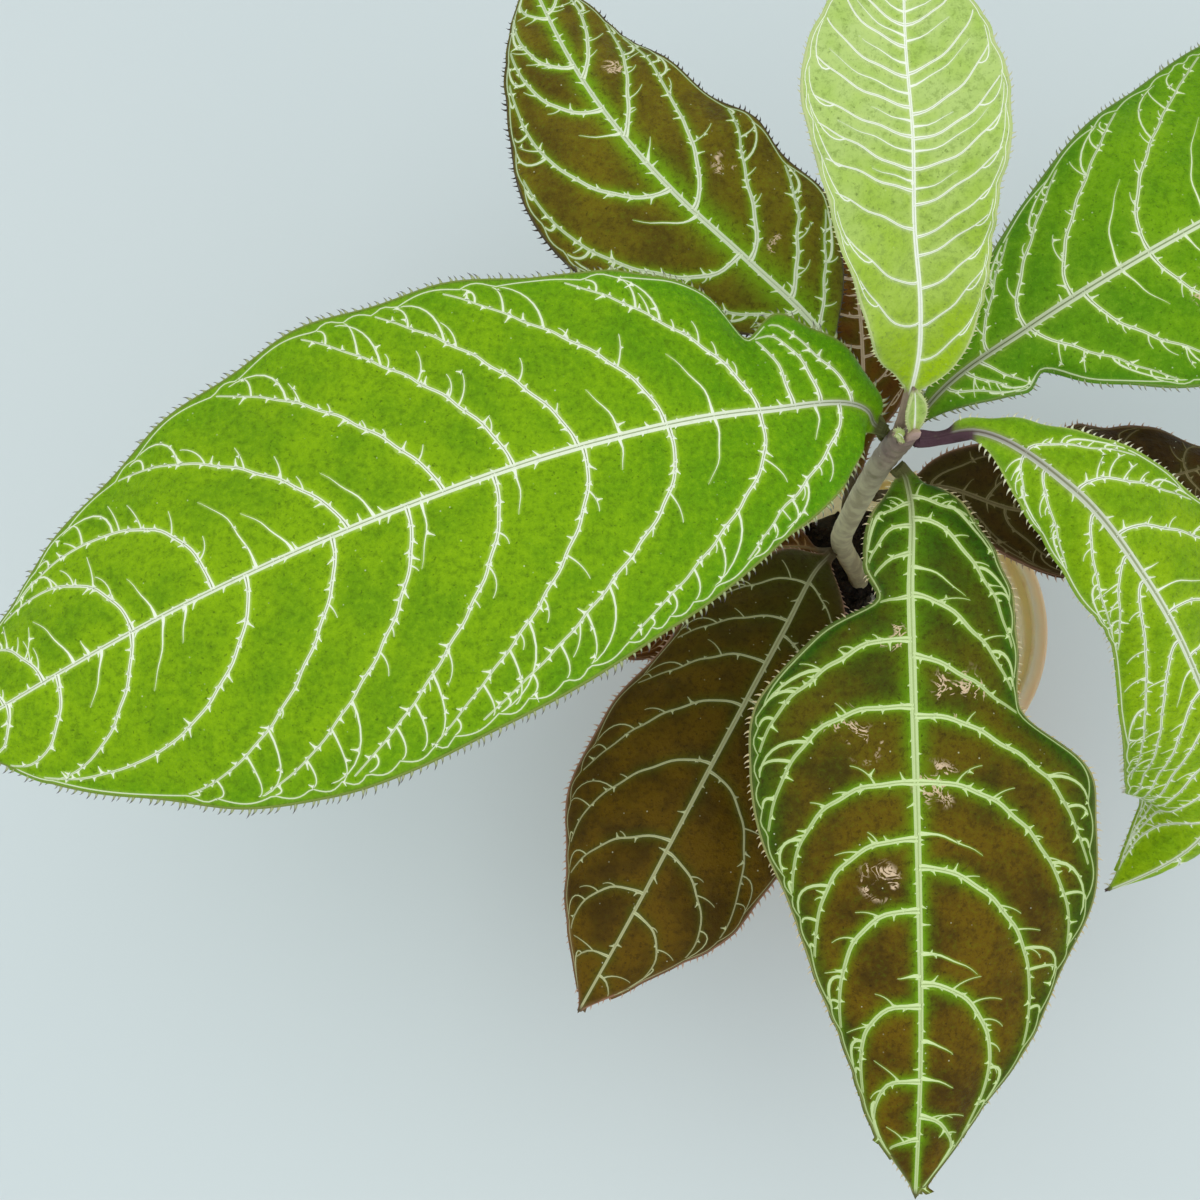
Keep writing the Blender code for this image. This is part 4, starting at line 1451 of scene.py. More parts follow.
    def raise_veins(self, paths: Array, halves: Array, fades: Array, half_section: Array) -> None:
        """Adds raised veins along paths on the blade.

        Args:
            paths: Places in the unrolled plane: veins, rows, two distances.
            halves: Half widths, a row for each vein.
            fades: How far the colour has faded, a row for each vein.
            half_section: The left half of the cross section, from outside to the middle.
        """
        other = half_section[::-1] * (-1, -1, 1, 1, 1)
        section = np.vstack([half_section, other[0 if half_section[-1, 0] else 1 :]])
        by, plus, rise, lift, crease = section.T
        aside = turned_left(unit(np.gradient(paths, axis=1)))
        offset = by * halves[..., None] + plus
        flat = paths[:, :, None] + aside[:, :, None] * offset[..., None]
        flat[..., 0] = np.clip(flat[..., 0], 0, self.blade.length)
        high = rise * halves[..., None] + lift
        high[:, -1] = self.SINK
        point, normal = self.surface(flat)
        points = (point + normal * high[..., None]).reshape(-1, 3)
        veins, rows, columns = flat.shape[:3]
        faces = [strip_faces(rows, columns) + k * rows * columns for k in range(veins)]
        kinds = np.full(columns - 1, LeafSlot.VEIN)
        kinds[[0, 1, -2, -1]] = LeafSlot.TOP
        away, half = self.lines.near(flat)
        glow = bell(np.maximum(away - half, 0), self.GLOW_REACH) * (1 - 0.8 * fades[..., None])
        numbers = {name: values.ravel() for name, values in self.numbers(flat).items()}
        numbers["glow"] = glow.ravel()
        numbers["fade"] = np.repeat(fades.ravel(), columns)
        numbers["crease"] = np.tile(crease, veins * rows)
        self.parts.add(points, faces, np.tile(kinds, veins * (rows - 1)), **numbers)

    def raise_below(self, vein: Vein) -> None:
        """Adds the ridge of one side vein on the underside.

        Args:
            vein: The vein.
        """
        point, normal = self.surface(vein.path)
        ahead = unit(np.gradient(point, axis=0))
        side = unit(np.cross(normal, ahead))
        half = vein.half[:, None, None]
        across, down = self.RIDGE.T[..., None]
        points = point[:, None] + side[:, None] * half * across
        points = points - normal[:, None] * (BLADE + half * down)
        fade = np.repeat(0.5 + 0.5 * vein.fade, len(self.RIDGE))
        faces = [strip_faces(len(vein.path), len(self.RIDGE))]
        self.parts.add(points.reshape(-1, 3), faces, LeafSlot.VEIN, fade=fade)

    def margin(self, side: int) -> tuple[Array, ...]:
        """The margin of one side.

        Args:
            side: 1 for left and -1 for right.

        Returns:
            Distances along the midrib, points, normals, outward directions and forward directions.
        """
        along = np.linspace(0.3, self.blade.length * 0.999, 900)
        aside = side * self.blade.width(along, side)
        point, normal = self.blade.place(along, aside)
        inner = self.blade.place(along, aside * 0.97)[0]
        ahead = unit(np.gradient(point, axis=0))
        out = point - inner
        out = unit(out - ahead * (out * ahead).sum(axis=1, keepdims=True))
        return along, point, normal, out, ahead

    def even_places(self, point: Array, step: float, jitter: float = 0.0) -> Array:
        """Rows of a dense line of points that stand at nearly equal distances.

        Args:
            point: The dense points.
            step: The distance.
            jitter: How far a place may be off, by the step.

        Returns:
            The rows.
        """
        run = run_along(point)
        want = np.arange(0.2 * step, run[-1], step)
        want = want + self.rng.uniform(-jitter, jitter, len(want)) * step
        return np.clip(np.searchsorted(run, want), 0, len(point) - 1)

    def rim(self, side: int) -> None:
        """Adds the thin rim round the blade's edge on one side.

        Args:
            side: 1 for left and -1 for right.
        """
        along, point, normal, out, _ = self.margin(side)
        pick = self.even_places(point, self.rim_step)
        along, point, normal, out = along[pick], point[pick], normal[pick], out[pick]
        section = self.RIM if side < 0 else self.RIM[::-1]
        rows = np.stack([point + out * a + normal * b for a, b in section], axis=1)
        stalk = self.blade.stalk(along, self.blade.width(along, side))
        numbers = {"rimmed": np.ones(rows[..., 0].size), "stalk": np.repeat(stalk, len(section))}
        faces = [strip_faces(len(point), len(section))]
        self.parts.add(rows.reshape(-1, 3), faces, LeafSlot.VEIN, **numbers)

    def margin_bristles(self, material: Material) -> None:
        """Grows the fringe of hooked bristles along both margins.

        Args:
            material: Their material.
        """
        shape = self.shape
        seeds, aims, forwards, sizes = [], [], [], []
        for side in (1, -1):
            along, point, normal, out, ahead = self.margin(side)
            pick = self.even_places(point, shape.tooth_step, self.JITTER)
            slender = self.blade.slender(along[pick], self.blade.width(along[pick], side))
            pick = pick[slender > self.TOOTHED]
            lean = self.rng.uniform(*self.LEAN, (len(pick), 1))
            lift = self.rng.uniform(*self.LIFT, (len(pick), 1))
            seeds.append(point[pick] - normal[pick] * self.ROOT)
            aims.append(unit(out[pick] + ahead[pick] * lean + normal[pick] * lift))
            forwards.append(ahead[pick])
            near = bell(along[pick] / self.blade.length, self.BASE_TEETH_REACH)
            swell = shape.tooth_size * (1 + (shape.base_teeth - 1) * near)
            sizes.append(np.stack([swell**0.4, swell, swell], axis=1))
        held = {"aim": aims, "forward": forwards, "size": sizes}
        vectors = {name: np.concatenate(rows) for name, rows in held.items()}
        values = {"Seed": shape.seed, "Material": material, "Spread": 0.3}
        mesh = grow(np.concatenate(seeds), vectors, self.bristles, values)
        points, faces = mesh_arrays(mesh)
        reach = np.empty(len(points), np.float32)
        mesh.attributes["reach"].data.foreach_get("value", reach)
        self.parts.add(points, faces, LeafSlot.BRISTLE, reach=reach)
        bpy.data.meshes.remove(mesh)


LIME = LeafFinish(
    name="lime leaf", lamina=tone(128, 170, 0), cloud=tone(106, 152, 0), base=tone(88, 148, 0),
    halo=tone(158, 200, 10), glow=tone(190, 216, 110), vein=tone(242, 248, 226), vein_end=tone(206, 220, 176),
    crease=tone(130, 146, 76), rim=tone(122, 140, 60), bristle=tone(172, 180, 132),
    bristle_tip=tone(88, 80, 88), stalk=tone(82, 84, 46), underside=tone(128, 150, 84), edge=0.5,
)
BRIGHT = replace(
    LIME, name="bright leaf", lamina=tone(142, 178, 0), cloud=tone(122, 164, 0), base=tone(100, 150, 0),
    halo=tone(166, 204, 30), rim=tone(150, 176, 76), bristle=tone(228, 230, 200),
    bristle_tip=tone(206, 196, 166), stalk=tone(86, 62, 70), underside=tone(96, 62, 58), roughness=0.38,
)
MID_GREEN = replace(
    LIME, name="green leaf", lamina=tone(122, 170, 0), cloud=tone(98, 150, 0), base=tone(72, 130, 0),
    halo=tone(140, 180, 36), glow=tone(166, 200, 80), vein=tone(232, 242, 206), vein_end=tone(184, 202, 152),
    crease=tone(112, 132, 60), rim=tone(104, 132, 56), bristle=tone(166, 174, 132),
    bristle_tip=tone(104, 96, 90), underside=tone(104, 132, 70),
)
BROWN = LeafFinish(
    name="brown leaf", lamina=tone(112, 98, 6), cloud=tone(88, 72, 4), base=tone(104, 108, 12),
    halo=tone(124, 176, 8), glow=tone(150, 192, 60), vein=tone(236, 244, 212), vein_end=tone(172, 190, 142),
    crease=tone(178, 190, 148), rim=tone(78, 68, 44), bristle=tone(62, 52, 40), bristle_tip=tone(44, 36, 30),
    stalk=tone(110, 112, 60), underside=tone(110, 92, 66), halo_strength=0.8, dust=0.6, mottle=0.12,
)
FRONT = replace(
    BROWN, name="front leaf", lamina=tone(106, 82, 0), cloud=tone(74, 54, 0), base=tone(46, 84, 0),
    halo=tone(104, 154, 0), glow=tone(130, 172, 40), vein=tone(214, 232, 168), vein_end=tone(166, 184, 120),
    crease=tone(166, 186, 118), rim=tone(140, 144, 84), bristle=tone(214, 196, 152),
    bristle_tip=tone(222, 206, 168), stalk=tone(96, 96, 56), underside=tone(104, 84, 56), halo_strength=0.9,
    edge=0.8,
)
DARK = replace(
    BROWN, name="dark leaf", lamina=tone(102, 76, 0), cloud=tone(72, 52, 0), base=tone(66, 62, 6),
    halo=tone(80, 88, 8), glow=tone(98, 102, 46), vein=tone(204, 208, 158), vein_end=tone(156, 152, 108),
    crease=tone(176, 172, 124), rim=tone(144, 108, 84), bristle=tone(192, 156, 132),
    bristle_tip=tone(204, 172, 148), stalk=tone(96, 84, 60), underside=tone(84, 60, 44), halo_strength=0.7,
)
BACK_DARK = replace(
    DARK, name="back dark leaf", lamina=tone(126, 78, 12), cloud=tone(98, 58, 8), base=tone(110, 76, 12),
    vein=tone(222, 200, 172), vein_end=tone(200, 170, 140), crease=tone(196, 170, 140),
    glow=tone(140, 96, 50),
)
SHADED = replace(
    DARK, name="shaded leaf", lamina=tone(74, 50, 6), cloud=tone(54, 36, 4), base=tone(66, 52, 8),
    halo=tone(72, 66, 10), glow=tone(84, 76, 32), vein=tone(142, 130, 88), vein_end=tone(104, 88, 54),
    crease=tone(100, 90, 56),
)
RED_BROWN = replace(
    DARK, name="red-brown leaf", lamina=tone(104, 58, 6), cloud=tone(84, 42, 5), base=tone(90, 56, 8),
    halo=tone(112, 74, 12), glow=tone(130, 92, 46), vein=tone(176, 138, 90), vein_end=tone(140, 96, 58),
)
YOUNG = LeafFinish(
    name="young leaf", lamina=tone(188, 212, 128), cloud=tone(168, 200, 92), base=tone(156, 190, 0),
    halo=tone(202, 222, 120), glow=tone(206, 224, 160), vein=tone(246, 250, 232),
    vein_end=tone(238, 244, 222), crease=tone(190, 204, 150), rim=tone(192, 204, 140),
    bristle=tone(218, 222, 170), bristle_tip=tone(196, 186, 136), stalk=tone(146, 128, 110),
    underside=tone(166, 186, 112), dust=0.15, mottle=0.15,
)

LEAVES = [
    LeafShape(
        node="leaf_left", slot="lime_leaf", finish=LIME, height=160.0, azimuth=156.0,
        rib=[
            (-18, 27, 165), (-43, 24, 173), (-78, 15, 178), (-121, 0, 177), (-165, -18, 170),
            (-224, -47, 153),
        ],
        left=[0, 19, 31, 40, 46, 50, 52, 53, 51, 45, 34, 20, 0],
        right=[0, 17, 29, 37, 42, 46, 48, 47, 43, 37, 28, 17, 0], tilt_left=[10, 4, -6],
        tilt_right=[12, 6, -4], rib_radius=1.6, waves=7.0, notches=[Notch(-1, 0.15, 8.0, 5.0, 3.0)],
        veins_left=VeinPlan((
            (0.075, 0.21, 3.0), (0.155, 0.345, 3.4), (0.245, 0.5, 2.8), (0.327, 0.55, 2.2),
            (0.413, 0.635, 2.1), (0.497, 0.727, 2.0), (0.57, 0.8, 1.7), (0.657, 0.923, 1.75),
            (0.777, 0.913, 1.3), (0.86, 0.947, 1.5), (0.917, 0.965, 1.3),
        ), (
            (0.1, 0.4), (0.2, 0.43), (0.293, 0.2), (0.393, 0.23), (0.483, 0.29), (0.72, 0.18), (0.743, 0.35),
            (0.81, 0.33),
        )),
        veins_right=VeinPlan((
            (0.06, 0.13, 2.0), (0.093, 0.143, 2.2), (0.12, 0.142, 1.5), (0.155, 0.3, 2.0),
            (0.247, 0.403, 1.9), (0.331, 0.467, 1.6), (0.393, 0.537, 1.7), (0.46, 0.63, 1.5),
            (0.553, 0.746, 1.5), (0.69, 0.883, 2.6), (0.775, 0.9, 2.1), (0.875, 0.93, 1.6), (0.92, 0.96, 1.4),
        ), (
            (0.2, 0.45), (0.29, 0.3), (0.527, 0.3), (0.608, 0.3), (0.645, 0.47), (0.75, 0.33), (0.823, 0.15),
            (0.84, 0.6),
        )),
        frill=0.9, vein_half=0.4, midrib_half=0.9, stub_step=4.2, tooth_size=1.2, base_teeth=1.1, seed=11,
    ),
    LeafShape(
        node="leaf_back_left", slot="brown_leaf", finish=BROWN, height=153.0, azimuth=112.0,
        rib=[
            (-19, 42, 150), (-28, 56, 151), (-42, 70, 153), (-61, 88, 156), (-78, 112, 154), (-97, 158, 144),
        ],
        left=[0, 0, 3, 12, 20, 27, 31, 31, 27, 21, 15, 9, 0],
        right=[0, 1, 2, 17, 26, 28, 29, 27, 24, 21, 16, 10, 0], tilt_left=[8, 4, -4], phase=1.0,
        veins_left=VeinPlan((
            (0.24, 0.4, 3.0), (0.36, 0.65, 4.0), (0.505, 0.8, 2.0), (0.68, 0.86, 1.7), (0.777, 0.92, 1.8),
            (0.889, 0.95, 1.4),
        ), ((0.447, 0.42), (0.627, 0.35))),
        veins_right=VeinPlan((
            (0.2, 0.32, 2.0), (0.26, 0.41, 1.6), (0.343, 0.57, 1.7), (0.457, 0.82, 1.8), (0.617, 0.86, 1.2),
            (0.747, 0.96, 1.2), (0.9, 0.97, 1.3),
        ), ((0.56, 0.2),)),
        midrib_halo=5.0, side_halo=1.5, vein_half=0.52, stub_step=4.5, branched=0.8, link_half=0.36,
        scars=((0.747, -0.4, 2.5), (0.477, -0.5, 3.5), (0.33, -0.3, 2.5)), seed=12,
    ),
    LeafShape(
        node="leaf_young", slot="young_leaf", finish=YOUNG, height=162.0, azimuth=90.0,
        rib=[
            (-8.6, 34, 175), (-10, 42, 187), (-13, 54, 199), (-15, 69, 211), (-17, 84, 218), (-17, 106, 222),
        ],
        left=[0, 0, 8, 12, 14, 16, 18, 20, 22, 22, 18, 11, 0],
        right=[0, 0, 8, 12, 14, 16, 17, 19, 20, 19, 16, 10, 0], tilt_left=[25, 18, 8], rib_radius=1.0,
        waves=8.0, wave=0.7, on_top=(-1.6, 0.9),
        veins_left=VeinPlan((
            (0.26, 0.4, 3.0), (0.347, 0.48, 2.0), (0.453, 0.55, 1.2), (0.527, 0.61, 1.2), (0.567, 0.68, 1.4),
            (0.627, 0.73, 1.3), (0.68, 0.79, 1.3), (0.735, 0.85, 1.3), (0.79, 0.9, 1.3), (0.83, 0.935, 1.3),
            (0.88, 0.96, 1.3), (0.92, 0.975, 1.3),
        ), ((0.545, 0.5), (0.6, 0.75), (0.655, 0.4), (0.705, 0.8), (0.76, 0.5), (0.81, 0.75), (0.855, 0.6))),
        veins_right=VeinPlan((
            (0.17, 0.27, 2.0), (0.25, 0.36, 1.5), (0.333, 0.41, 1.7), (0.4, 0.475, 1.8), (0.437, 0.53, 1.6),
            (0.5, 0.6, 1.8), (0.567, 0.66, 2.0), (0.623, 0.72, 2.2), (0.667, 0.79, 1.9), (0.74, 0.86, 1.6),
            (0.83, 0.92, 1.6), (0.88, 0.95, 1.5), (0.92, 0.97, 1.4),
        ), ((0.53, 0.5), (0.6, 0.8), (0.645, 0.45), (0.717, 0.75), (0.8, 0.6), (0.855, 0.7))),
        vein_half=0.25, midrib_half=0.6, midrib_halo=1.2, side_halo=0.8, base_reach=0.5, branched=0.05,
        link_half=0.12, tooth_step=1.4, tooth_size=0.7, stub_step=60.0, spacing=1.1, seed=13,
    ),
    LeafShape(
        node="leaf_back_right", slot="green_leaf", finish=MID_GREEN, height=156.5, azimuth=50.0,
        rib=[
            (-1, 33, 161), (19, 47, 166), (40, 60, 169), (59, 71, 170), (98, 93, 166), (142, 117, 158),
            (189, 140, 146),
        ],
        left=[0, 6, 18, 28, 35, 39, 41, 43, 43, 41, 36, 25, 0],
        right=[0, 9, 17, 31, 37, 40, 41, 40, 37, 33, 26, 15, 0], tilt_left=[8, 0, -8], waves=6.0, phase=2.0,
        notches=[Notch(-1, 0.15, 5.0, 4.0, 2.0)],
        veins_left=VeinPlan((
            (0.113, 0.2, 3.0), (0.157, 0.28, 2.8), (0.212, 0.37, 2.4), (0.301, 0.49, 2.3), (0.44, 0.62, 2.1),
            (0.52, 0.7, 2.0), (0.6, 0.78, 2.0), (0.68, 0.85, 2.0), (0.76, 0.91, 1.9), (0.84, 0.95, 1.7),
            (0.9, 0.97, 1.5),
        ), ((0.267, 0.55), (0.37, 0.6), (0.48, 0.3), (0.64, 0.4))),
        veins_right=VeinPlan((
            (0.06, 0.11, 2.5), (0.083, 0.115, 1.6), (0.1, 0.13, 1.4), (0.16, 0.25, 2.2), (0.223, 0.33, 2.5),
            (0.3, 0.42, 2.2), (0.38, 0.52, 2.2), (0.46, 0.6, 2.1), (0.54, 0.69, 2.0), (0.62, 0.77, 2.0),
            (0.7, 0.84, 1.9), (0.78, 0.9, 1.8), (0.86, 0.95, 1.6),
        ), ((0.267, 0.4), (0.34, 0.35), (0.5, 0.25), (0.66, 0.4))),
        frill=0.5, vein_half=0.42, stub_step=4.5, brown_reach=0.2,
        scars=((0.34, -0.45, 7.0), (0.4, -0.15, 3.0)), base_teeth=1.1, seed=14,
    ),
    LeafShape(
        node="leaf_drooping_right", slot="lime_leaf", finish=BRIGHT, height=159.0, azimuth=0.0,
        rib=[
            (5, 21.5, 167), (26, 8, 167), (44, -10, 157), (61, -29, 138), (74, -46, 115), (75, -60, 97),
            (56, -73, 74),
        ],
        left=[0, 4, 11, 18, 24, 28, 30, 30, 28, 24, 18, 10, 0],
        right=[0, 2, 9, 13, 14, 14, 17, 21, 23, 22, 20, 12, 0], tilt_left=[5, 0, 0, -15, -35, -45],
        tilt_right=[0, -20, -30, -25, -10, 0], curl_left=[-12, -12, -20, -40, -80, -120], rib_radius=1.6,
        phase=0.5,
        veins_left=VeinPlan((
            (0.145, 0.25, 2.6), (0.22, 0.34, 2.4), (0.293, 0.47, 2.2), (0.417, 0.6, 2.0), (0.49, 0.66, 2.0),
            (0.57, 0.74, 2.0), (0.65, 0.81, 2.0), (0.73, 0.88, 2.0), (0.81, 0.93, 1.8), (0.88, 0.97, 1.6),
        ), ((0.35, 0.2), (0.383, 0.5), (0.53, 0.3), (0.69, 0.3))),
        veins_right=VeinPlan((
            (0.145, 0.19, 2.5), (0.175, 0.3, 2.4), (0.253, 0.42, 1.9), (0.32, 0.45, 1.7), (0.36, 0.72, 2.2),
            (0.46, 0.8, 2.0), (0.55, 0.85, 1.8), (0.603, 0.9, 1.7), (0.67, 0.93, 1.6), (0.73, 0.95, 1.5),
            (0.8, 0.97, 1.5),
        ), ((0.51, 0.35),)),
        frill=0.9, vein_half=0.36, stub_step=4.5, brown_reach=0.25, base_teeth=1.1, seed=15,
    ),
    LeafShape(
        node="leaf_front", slot="brown_leaf", finish=FRONT, height=149.0, azimuth=-50.0,
        rib=[(-7, 14, 151), (-8, -13, 152), (-8, -47, 148), (-7, -79, 139), (-6, -112, 127), (-6, -145, 112)],
        left=[0, 14, 22, 24, 28, 40, 43, 42, 38, 31, 22, 12, 0],
        right=[0, 9, 12, 22, 35, 37, 35, 30, 25, 20, 15, 9, 0], tilt_left=[10, 0, -8], phase=1.5,
        notches=[Notch(-1, 0.2, 8.0, 5.0, 0.0), Notch(1, 0.36, 3.0, 9.0, 4.0)],
        veins_left=VeinPlan((
            (0.057, 0.085, 1.5), (0.09, 0.265, 3.5), (0.193, 0.32, 2.0), (0.273, 0.35, 1.5),
            (0.352, 0.56, 3.5), (0.437, 0.67, 2.6), (0.547, 0.8, 2.0), (0.7, 0.92, 2.0), (0.88, 0.94, 1.4),
        ), ((0.155, 0.55), (0.503, 0.35), (0.66, 0.38), (0.777, 0.3), (0.827, 0.4))),
        veins_right=VeinPlan((
            (0.067, 0.095, 1.6), (0.1, 0.16, 3.0), (0.137, 0.175, 1.5), (0.195, 0.205, 1.5),
            (0.253, 0.4, 4.0), (0.34, 0.5, 3.5), (0.437, 0.585, 3.0), (0.51, 0.67, 2.6), (0.603, 0.77, 2.6),
            (0.73, 0.86, 3.2), (0.832, 0.9, 3.0), (0.913, 0.935, 1.5),
        ), ((0.69, 0.25),)),
        midrib_halo=3.2, side_halo=1.8, base_reach=0.32, vein_half=0.56, link_half=0.42, stub_step=5.5,
        tooth_size=0.9, frill=0.9, base_teeth=1.1,
        scars=(
            (0.32, 0.42, 6.0), (0.25, -0.2, 3.0), (0.387, -0.3, 4.0), (0.44, 0.12, 5.0), (0.563, -0.28, 4.5),
            (0.36, -0.45, 4.0),
        ),
        seed=16,
    ),
    LeafShape(
        node="leaf_low_front", slot="dark_leaf", finish=DARK, height=90.0, azimuth=-133.0,
        rib=[(-20, 11, 94), (-30, -7, 98), (-51, -45, 101), (-69, -78, 97), (-84, -104, 88)],
        left=[0, 9, 15, 20, 24, 27, 29, 29, 28, 25, 18, 9, 0],
        right=[0, 12, 20, 24, 26, 29, 31, 32, 30, 25, 18, 9, 0], tilt_left=[5, -5, -10], rib_radius=1.3,
        phase=2.5,
        veins_left=VeinPlan((
            (0.107, 0.2, 2.0), (0.223, 0.36, 2.0), (0.363, 0.55, 2.1), (0.513, 0.77, 2.3), (0.673, 0.83, 1.8),
            (0.793, 0.9, 1.8), (0.92, 0.95, 1.3),
        )),
        veins_right=VeinPlan((
            (0.11, 0.22, 2.5), (0.193, 0.32, 1.9), (0.287, 0.43, 2.3), (0.38, 0.62, 2.2), (0.5, 0.75, 1.9),
            (0.653, 0.8, 1.6), (0.757, 0.885, 1.9), (0.883, 0.925, 1.7),
        )),
        vein_half=0.3, midrib_half=0.7, midrib_halo=2.2, side_halo=1.5, stub_step=12.0, branched=0.3,
        link_half=0.16, seed=17,
    ),
    LeafShape(
        node="leaf_low_back", slot="dark_leaf", finish=BACK_DARK, height=102.0, azimuth=85.0,
        rib=[(-12, 31, 109), (-10.5, 49, 120), (-11, 64, 125), (-12, 82, 127), (-9, 107, 124)],
        left=[0, 0, 1, 3, 9, 14, 19, 20, 20, 17, 14, 9, 0],
        right=[0, 0, 2, 4, 9, 13, 16, 17, 17, 16, 14, 9, 0], tilt_left=[10, 0, -5], rib_radius=1.1, phase=0.8,
        veins_left=VeinPlan.even(7, 0.28, 0.92, 0.2, seed=11),
        veins_right=VeinPlan.even(7, 0.26, 0.92, 0.2, seed=12), vein_half=0.3, link_half=0.16,
        midrib_half=0.6, stub_step=8.0, branched=0.4, seed=18,
    ),
    LeafShape(
        node="leaf_low_right", slot="dark_leaf", finish=SHADED, height=122.0, azimuth=5.0,
        rib=[(4, 23, 126), (26, 16, 128), (46, 20, 125), (71, 29, 120), (90, 35, 115)],
        left=[0, 2, 10, 17, 20, 20, 21, 21, 20, 17, 11, 5, 0],
        right=[0, 2, 4, 8, 12, 17, 19, 19, 17, 15, 12, 6, 0], tilt_left=[5, 0, -10], rib_radius=1.2,
        phase=1.8, veins_left=VeinPlan.even(7, 0.12, 0.92, 0.22, seed=13),
        veins_right=VeinPlan.even(7, 0.2, 0.92, 0.2, seed=14), vein_half=0.3, link_half=0.16, midrib_half=0.6,
        stub_step=8.0, branched=0.4, seed=19,
    ),
    LeafShape(
        node="leaf_low_left", slot="dark_leaf", finish=RED_BROWN, height=82.0, azimuth=180.0,
        rib=[(-22, 19, 87), (-42, 16, 90), (-67, 11, 88), (-89, 8, 82), (-109, 8, 74)],
        left=[0, 3, 8, 14, 19, 23, 24, 23, 21, 18, 14, 7, 0],
        right=[0, 3, 10, 15, 18, 20, 21, 21, 20, 18, 15, 9, 0], tilt_left=[5, -5, -10], rib_radius=1.2,
        phase=0.3, veins_left=VeinPlan.even(8, 0.12, 0.93, 0.2, seed=15),
        veins_right=VeinPlan.even(8, 0.12, 0.93, 0.2, seed=16), vein_half=0.3, link_half=0.16,
        midrib_half=0.6, stub_step=8.0, branched=0.4, seed=20,
    ),
    LeafShape(
        node="bud_leaf_back", slot="young_leaf", finish=YOUNG, height=162.0, azimuth=100.0,
        rib=[(-8.3, 24.0, 168), (-9.9, 27.7, 177)], left=[0, 1, 2, 2.6, 2.4, 1.4, 0],
        right=[0, 1, 2, 2.6, 2.4, 1.4, 0], tilt_left=[35, 30], rib_radius=0.6, wave=0.0, on_top=(1.3, -0.7),
        midrib_half=0.35, midrib_halo=0.8, tooth_step=0.8, tooth_size=0.5, spacing=0.4, seed=21,
    ),
    LeafShape(
        node="bud_leaf_left", slot="young_leaf", finish=YOUNG, height=162.0, azimuth=200.0,
        rib=[(-11.4, 21.6, 165.5), (-13.0, 21.0, 167)], left=[0, 0.8, 1.3, 1.3, 0.8, 0],
        right=[0, 0.8, 1.3, 1.3, 0.8, 0], tilt_left=[25, 20], rib_radius=0.5, wave=0.0, on_top=(-0.9, -1.7),
        midrib_half=0.25, midrib_halo=0.6, tooth_step=0.7, tooth_size=0.4, spacing=0.3, seed=22,
    ),
]


